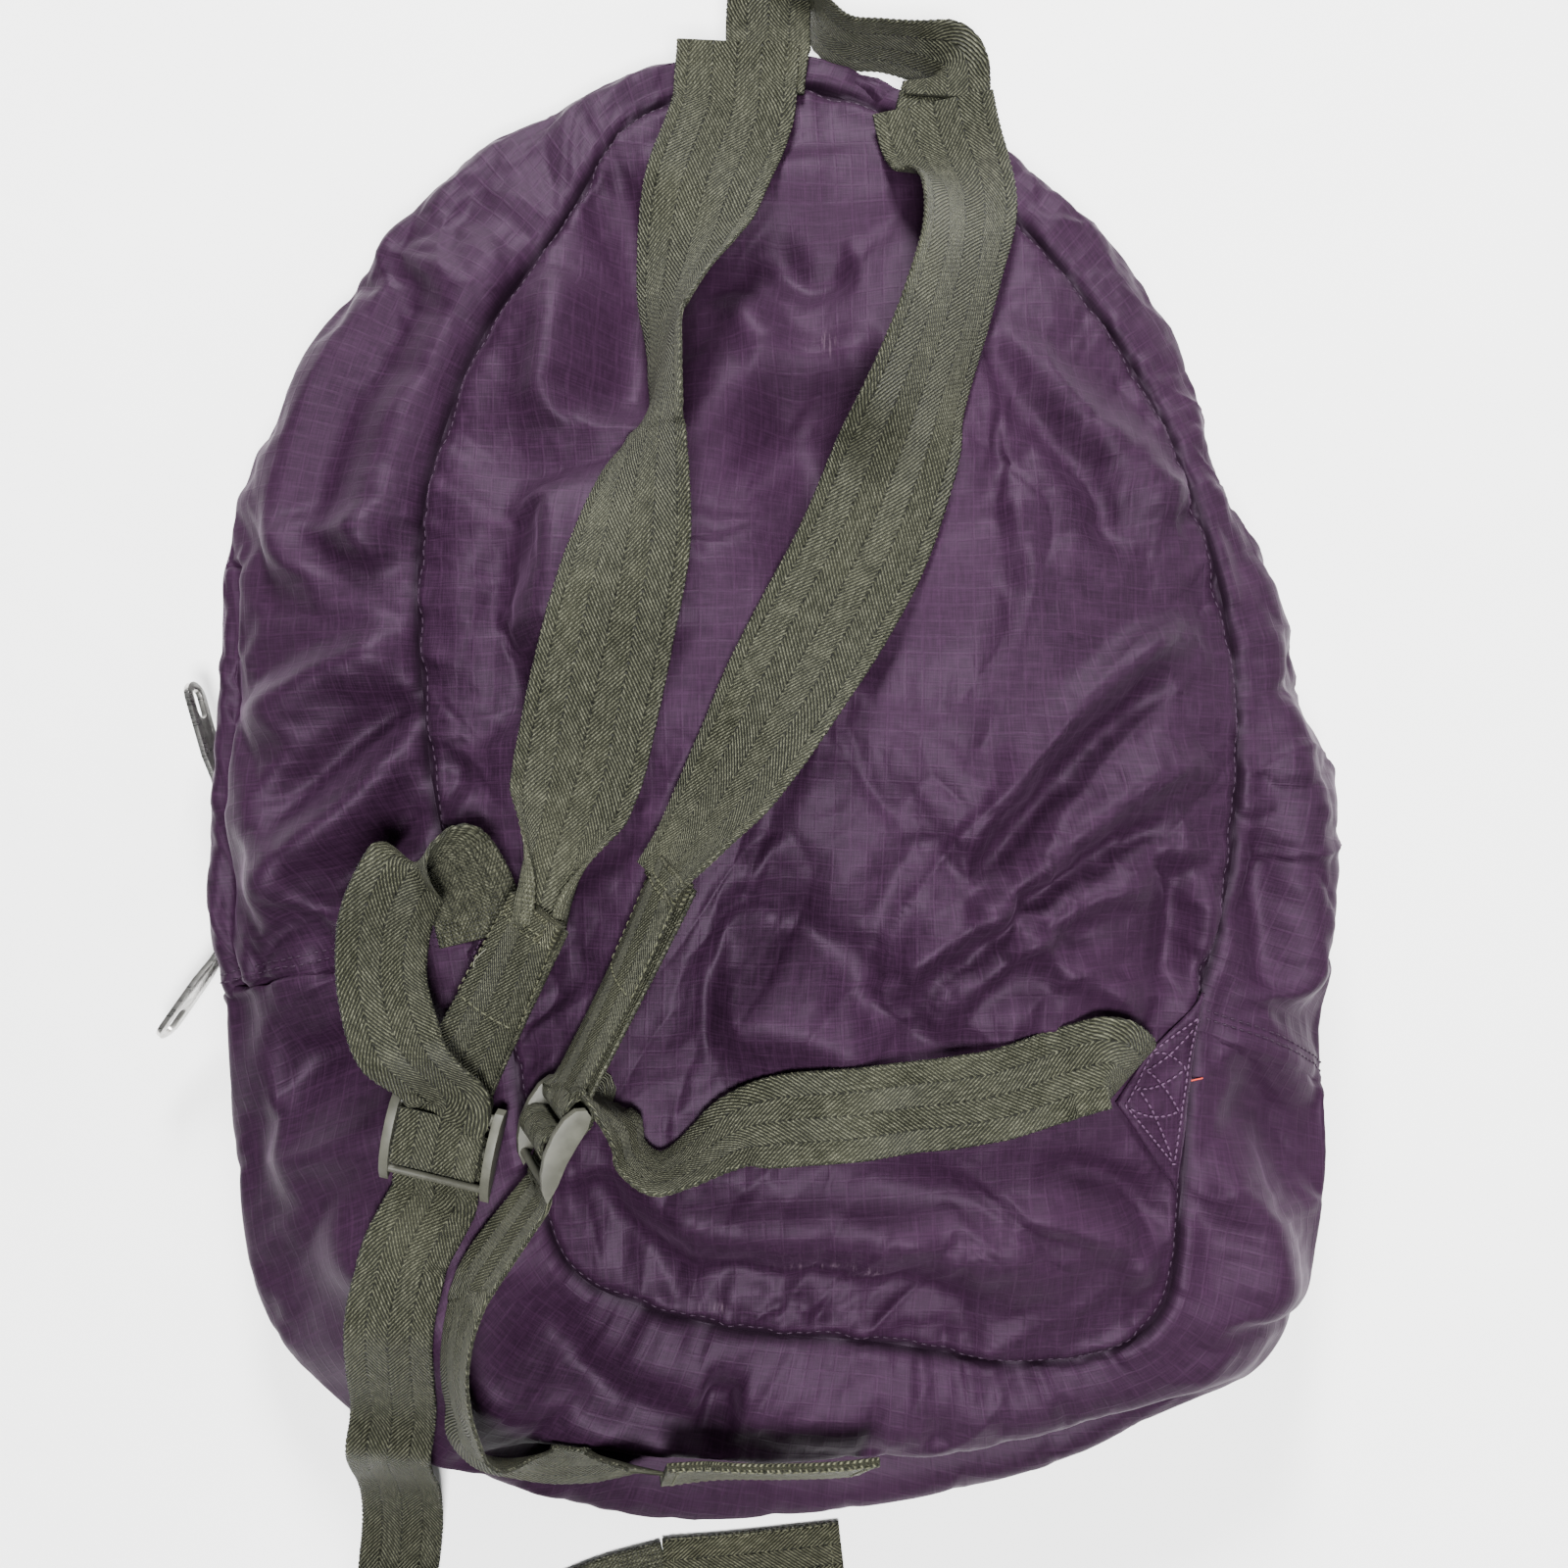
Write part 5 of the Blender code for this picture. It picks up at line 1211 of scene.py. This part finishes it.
shell = make_shell()
crumpled(shell)
finish_shell(shell)
skin_points = coords(shell.data)
scuffs = np.zeros(len(skin_points))
for cx, cy, across, along in SCUFFS:
    gap = ((skin_points[:, 0] - cx) / across) ** 2 + ((skin_points[:, 1] - cy) / along) ** 2
    scuffs = np.maximum(scuffs, np.exp(-gap))
set_attribute(shell.data, "scuff", scuffs)
keep(shell, "bag", "ripstop_fabric", PLUM, "back_panel", "upper_gusset_back", "lower_gusset",
     "back_seam_binding", "front_seam_binding")
keep(make_front(), "bag", "ripstop_fabric", PLUM, "upper_gusset_front", "front_panel")
SKIN.append(BVHTree.FromPolygons([v.co.copy() for v in shell.data.vertices],
                                 [tuple(p.vertices) for p in shell.data.polygons]))

LEFT_LOCK = lock_frame(JOINTS["left_lock_tilt"], -1, 12)
RIGHT_LOCK = lock_frame(JOINTS["right_lock_tilt"], 1, 26)

# Shoulder straps
left_frames = np.vstack([[-0.0136, 0.2183, 0.0392, 0.973, -0.230, 0.0], laid(LEFT_STRAP, STRAP)])
right_frames = laid(RIGHT_STRAP, STRAP)
left_strap = strip("left_strap_cloth", left_frames, STRAP,
                   shape=lambda t: 0.0016 * np.sin(t * 9) * ease(t / 0.2) + 0.0040 * ease((t - 0.80) / 0.12),
                   folds_in=lambda t: 1 - 0.20 * ease((t - 0.82) / 0.12),
                   tuck=lambda t: ease((t - 0.87) / 0.11))
keep(left_strap, "bag", "webbing", HERRING, "left_shoulder_strap")
right_strap = strip("right_strap_cloth", right_frames, STRAP,
                    shape=lambda t: (0.0012 * np.sin(t * 8 + 1) * ease(t / 0.2)
                                     + 0.0020 * ease((t - 0.86) / 0.14)),
                    folds_in=lambda t: 1 - 0.25 * ease((t - 0.86) / 0.14))
keep(right_strap, "bag", "webbing", HERRING, "right_shoulder_strap")

# Loops that hold the ladder locks
for side, lock, line, roll, back, rise, squeeze in (
        ("left", LEFT_LOCK, left_frames, 34, 0.004, 0.0035, 0.24),
        ("right", RIGHT_LOCK, right_frames, 62, 0.005, 0.0, 0.10)):
    end = line[-1, :3]
    ahead = unit(end - line[-3, :3])
    level = unit(np.cross(UP, ahead))
    tilt = level * math.cos(math.radians(roll)) + np.cross(ahead, level) * math.sin(math.radians(roll))
    top = end - ahead * back + UP * rise
    loop = strip(side + "_loop_cloth", loop_frames(lock, top, tilt), WEB,
                 shape=lambda t: -0.0022 * np.cos(math.pi * t),
                 folds_in=lambda t: 1 - squeeze * np.abs(np.cos(math.pi * t)) ** 0.5)
    keep(loop, "bag", "webbing", HERRING_NARROW, side + "_strap_loop")
    toward = unit(np.array(lock.translation) - top)
    hem_line = [(*(top + toward * d), *tilt) for d in (-0.0010, 0.0015, 0.0040, 0.0062)]
    hem = strip(side + "_loop_hem", np.array(hem_line), (WEB + 0.0008) * (1 - squeeze), 0.0046)
    keep(hem, "bag", "webbing", HEM_CLOTH)

# Adjusting webbing through the locks
for side, lock, path in (("left", LEFT_LOCK, LEFT_WRAP), ("right", RIGHT_LOCK, RIGHT_WRAP)):
    wrap = strip(side + "_wrap_cloth", wrap_frames(lock, path), WEB)
    keep(wrap, side + "_lock_body", "webbing", HERRING_NARROW, side + "_adjuster_wrap")

adjuster = strip("left_adjuster_cloth", free((*LEFT_ADJUSTER, at_lock(LEFT_LOCK, 0.0146, 0.0066),
                                              at_lock(LEFT_LOCK, 0.0088, 0.0055))), WEB)
keep(adjuster, None, "webbing", HERRING_NARROW, "left_adjuster_webbing")
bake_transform(adjuster)
laid_part = laid(RIGHT_LAID, WEB)
picks = [tuple(laid_part[k]) for k in range(2, len(laid_part) - 1, 2)]
adjuster = strip("right_adjuster_cloth", free((*RIGHT_RISE, *picks, at_lock(RIGHT_LOCK, 0.0152, -0.0064),
                                               at_lock(RIGHT_LOCK, 0.0098, -0.0054))), WEB)
keep(adjuster, None, "webbing", HERRING_NARROW, "right_adjuster_webbing")
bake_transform(adjuster)
for side, lock, stations, leave in (("left", LEFT_LOCK, LEFT_TAIL, -0.0040),
                                    ("right", RIGHT_LOCK, RIGHT_TAIL, -0.0042)):
    rest = laid(stations, WEB)
    path = [at_lock(lock, -0.0136, leave), at_lock(lock, -0.0165, leave - 0.0004)]
    path += [tuple(rest[k]) for k in range(2, len(rest), 2)]
    tail = strip(side + "_tail_cloth", free(path), WEB)
    keep(tail, None, "webbing", HERRING_NARROW, side + "_adjuster_tail")
    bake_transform(tail)

# Hems at the free ends
flat = [(x, y, 0.0017, 0, 1, 0) for x, y in LEFT_HEM]
for side, frames in (("left", free(flat)), ("right", laid(RIGHT_HEM, HEM_WIDTH, 0.0019))):
    hem = strip(side + "_hem_cloth", frames, HEM_WIDTH, HEM_THICK)
    keep(hem, "bag", "webbing", HEM_CLOTH, side + "_tail_hem")

# Carry loop
haul = strip("haul_cloth", free(HAUL_LOOP), WEB)
keep(haul, None, "webbing", HERRING_NARROW, "haul_loop")
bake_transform(haul)
for side, stations in (("left", LEFT_ROOT), ("right", RIGHT_ROOT)):
    root = strip(f"haul_root_{side}_cloth", free(stations), WEB)
    keep(root, "bag", "webbing", HERRING_NARROW, "haul_loop_root_" + side)

# Anchor patches
left_tab, left_grid = make_tab("left_tab_cloth", LEFT_TAB)
keep(left_tab, "bag", "ripstop_fabric", PLUM, "left_anchor_tab")
right_tab, right_grid = make_tab("right_tab_cloth", RIGHT_TAB)
keep(right_tab, "bag", "ripstop_fabric", PLUM, "right_anchor_tab")

# Hard pieces
for node, body, slot, paint, bevel in (
        ("left_ladder_lock", "left_lock_body", "buckle_plastic", PLASTIC, 0.00055),
        ("right_ladder_lock", "right_lock_body", "buckle_plastic", PLASTIC, 0.00055),
        ("upper_slider", "upper_slider_body", "zip_metal", METAL, 0.00022),
        ("lower_slider", "lower_slider_body", "zip_metal", METAL, 0.00022),
        ("upper_pull", "upper_pull_body", "zip_metal", METAL, 0.00040),
        ("lower_pull", "lower_pull_body", "zip_metal", METAL, 0.00040),
        ("zip_stop_left", "bag", "zip_metal", METAL, 0.00018),
        ("zip_stop_right", "bag", "zip_metal", METAL, 0.00018)):
    keep(refined(node, bevel), body, slot, paint, node)


# ---- Zip ----

def zip_where():
    return even_columns(0.006, SIDE_SEAM - 0.006, 1600)[0]


def make_tape(name, near, far, shift):
    where = zip_where()[::3]
    rows = np.array([zip_points(where, near + (far - near) * t + shift(where)) for t in np.linspace(0, 1, 6)])
    run = np.broadcast_to(arc(rows[0]), rows.shape[:2])
    wave = noise_along(run, 0.008, 5) * 0.0003
    rows = rows - inward(where)[None] * wave[..., None]
    mesh = mesh_from(name, rows.reshape(-1, 3), grid_faces(6, len(where)))
    down = np.broadcast_to(np.linspace(near, far, 6)[:, None], rows.shape[:2])
    set_uv(mesh, np.stack([run, down], axis=-1).reshape(-1, 2))
    tape = add(name, mesh)
    thick = tape.modifiers.new("cloth", "SOLIDIFY")
    thick.thickness = 0.0007
    thick.offset = 0
    return applied(tape)


def make_coil(name, down, shift, turn_way):
    """A nylon coil: one monofilament wound along the tape's edge."""
    where = zip_where()
    line = zip_points(where, down + shift(where))
    run = arc(line)
    count = int(run[-1] / COIL_PITCH * 7)
    s = np.linspace(0, run[-1], count)
    spot = np.stack([np.interp(s, run, line[:, k]) for k in range(3)], axis=1)
    along = unit(np.gradient(spot, axis=0))
    into = inward(np.interp(s, run, where))
    across = unit(into * math.sin(ZIP_SLOPE) - UP * math.cos(ZIP_SLOPE))
    out = np.cross(along, across)
    angle = turn_way * 2 * math.pi * s / COIL_PITCH
    path = spot + across * (np.cos(angle) * 0.00100)[:, None] + out * (np.sin(angle) * 0.00080)[:, None]
    mesh = tube(name, path, COIL_WIRE, 0)
    mesh.shade_smooth()
    return add(name, mesh)


def still(where):
    return where * 0


for side, near, far, shift in (("back", FLAP + 0.0007, ZIP_LINE - COIL - 0.0019, still),
                               ("front", ZIP_LINE + COIL + 0.0019, ZIP_LINE + COIL + 0.0078, mouth)):
    tape = make_tape(f"tape_{side}_cloth", near, far, shift)
    keep(tape, "bag", "zip_tape", TAPE_PAINT, "zip_tape_" + side)
for side, down, shift, turn_way in (("back", ZIP_LINE - COIL, still, 1),
                                    ("front", ZIP_LINE + COIL, mouth, -1)):
    coil = make_coil(f"coil_{side}_nylon", down, shift, turn_way)
    keep(coil, "bag", "zip_tape", COIL_PAINT, "zip_coil_" + side)


# ---- Stitching ----

def strip_rows(obj):
    """A strip's points, one row across its top and back under it at each step, and the run along it."""
    points = coords(obj.data).reshape(-1, 2 * SPAN, 3)
    return points, arc(points[:, MIDDLE])


def on_strip(obj, q, start, stop):
    """A line on a strip's top face at q of its half width, between two distances along it."""
    points, run = strip_rows(obj)
    share = (q + 1) / 2 * (SPAN - 1)
    low = min(int(share), SPAN - 2)
    line = points[:, low] * (1 - share + low) + points[:, low + 1] * (share - low)
    line = line + unit(line - points[:, 2 * SPAN - 1 - low]) * 0.0004 * 0.6
    if stop < 0:
        stop = run[-1] + stop
    picks = (run >= start) & (run <= stop)
    return line[picks][::4]


def across_strip(obj, at):
    """A line across a strip's top face at a distance along it, or back from its end."""
    points, run = strip_rows(obj)
    at = run[-1] + at if at < 0 else at
    row = points[int(np.argmin(np.abs(run - at)))]
    line = [row[j] + unit(row[j] - row[2 * SPAN - 1 - j]) * 0.0002 for j in range(2, SPAN - 2)]
    middle = line[len(line) // 2]
    return [middle + (point - middle) * 0.9 for point in line]


rim = outline(0, RIM_WHERE)
rim_in = rim + unit((PANEL_CENTRE - rim) * [1, 1, 0]) * 0.0017
seam_lines = [snapped(rim_in[k:k + 40], 0.0001) for k in range(0, COLUMNS, 39)]
keep(stitches("back_seam_thread", seam_lines), "bag", "ripstop_fabric", PLUM_THREAD)
side_lines = []
for where, sign in ((0.0, 1), (float(SIDE_SEAM), -1)):
    profile = lofted(lower_profile(np.array([where, where])), 60)[2:50, 0]
    heading = unit(outline(3, np.array([where + 0.02])) - outline(3, np.array([where - 0.02])))[0]
    for offset in (0.0022, 0.0046):
        side_lines.append(snapped(profile + heading * sign * offset, 0.0002))
keep(stitches("side_seam_thread", side_lines, 0.0026, 0.0019, 0.00026), "bag", "ripstop_fabric", PLUM_THREAD)


def tab_line(grid, route):
    """A line over a patch through (down, across) shares of it."""
    out = []
    size = grid.shape[0] - 1
    for (a, b), (c, d) in zip(route[:-1], route[1:]):
        for t in np.linspace(0, 1, 14):
            r, q = (a + (c - a) * t) * size, (b + (d - b) * t) * size
            i, j = min(int(r), size - 1), min(int(q), size - 1)
            fr, fq = r - i, q - j
            low = grid[i, j] * (1 - fq) + grid[i, j + 1] * fq
            high = grid[i + 1, j] * (1 - fq) + grid[i + 1, j + 1] * fq
            out.append(low * (1 - fr) + high * fr + UP * 0.0006)
    return np.array(out)


tab_lines = []
for grid in (left_grid, right_grid):
    tab_lines.append(tab_line(grid, ((0.10, 0.10), (0.10, 0.90), (0.90, 0.90), (0.90, 0.10), (0.10, 0.10))))
    tab_lines.append(tab_line(grid, ((0.15, 0.15), (0.85, 0.38), (0.15, 0.62), (0.85, 0.88))))
    tab_lines.append(tab_line(grid, ((0.85, 0.15), (0.15, 0.38), (0.85, 0.62), (0.15, 0.88))))
keep(stitches("tab_thread", tab_lines, 0.0020, 0.0016, 0.00034), "bag", "ripstop_fabric", TAB_THREAD)

web_lines = []
for side in ("left", "right"):
    loop = MADE[side + "_loop_cloth"]
    for at in (0.0035, 0.0060, 0.034):
        web_lines.append(across_strip(loop, at))
    for q in (-0.88, 0.88):
        web_lines.append(on_strip(loop, q, 0.003, 0.034))
for name in ("left_hem_cloth", "right_hem_cloth"):
    hem = MADE[name]
    for q in (-0.86, 0.86):
        web_lines.append(on_strip(hem, q, 0.002, -0.002))
    web_lines.append(across_strip(hem, 0.003))
    web_lines.append(across_strip(hem, -0.003))
keep(stitches("web_thread", web_lines, 0.0024, 0.0018, 0.00028), "bag", "webbing", OLIVE_THREAD)


def loose_thread(name, points, radius, paint):
    line = evenly(points, 0.0006)
    keep(add(name, tube(name, line, radius, 2)), "bag", "webbing", paint)


end = left_frames[-1]
corner = end[:3] - end[3:6] * 0.012 + np.array([-0.003, -0.011, -0.002])
loose_thread("pale_thread_end", [corner + [0.001, 0.002, 0.001], corner + [-0.002, -0.001, 0.0015],
                                 corner + [-0.0022, -0.0030, 0.0012]], 0.00008, PALE_THREAD)
speck = snapped([(0.1175, -0.0850, 0.062), (0.1182, -0.0858, 0.062), (0.1188, -0.0851, 0.062)], 0.0007)
loose_thread("red_thread_speck", speck, 0.00022, RED_THREAD)


# ---- Stage, light and camera ----

CORNERS = ((-1, -1), (1, -1), (1, 1), (-1, 1))
sheet = mesh_from("floor", [(x * SHEET_HALF, y * SHEET_HALF, SHEET_Z) for x, y in CORNERS], [(0, 1, 2, 3)])
floor = add("floor", sheet)
floor.data.materials.append(FLOOR_PAINT)


def area_light(name, place, aim, size, power):
    data = bpy.data.lights.new(name, "AREA")
    data.shape = "SQUARE"
    data.size = size
    data.energy = power
    lamp = bpy.data.objects.new(name, data)
    lamp.location = place
    lamp.rotation_euler = (Vector(aim) - Vector(place)).to_track_quat("-Z", "Y").to_euler()
    bpy.context.scene.collection.objects.link(lamp)


area_light("key", (-0.05, 1.25, 0.80), (0, 0, 0.02), 0.36, 66)
area_light("fill", (1.0, 0.2, 0.8), (0, 0, 0.02), 0.7, 8)
area_light("top", (0.04, -0.34, 1.4), (0, 0, 0), 0.34, 72)
world = bpy.data.worlds.new("soft_world")
world.use_nodes = True
sky = world.node_tree.nodes["Background"]
sky.inputs["Color"].default_value = (0.95, 0.97, 1.0, 1.0)
sky.inputs["Strength"].default_value = 0.13
bpy.context.scene.world = world

camera_data = bpy.data.cameras.new("camera")
camera_data.lens = CAMERA_LENS
camera_data.sensor_width = 36.0
camera_data.clip_start = 0.01
camera = bpy.data.objects.new("camera", camera_data)
camera.location = (0.0, 0.0, CAMERA_HEIGHT)
bpy.context.scene.collection.objects.link(camera)
bpy.context.scene.camera = camera
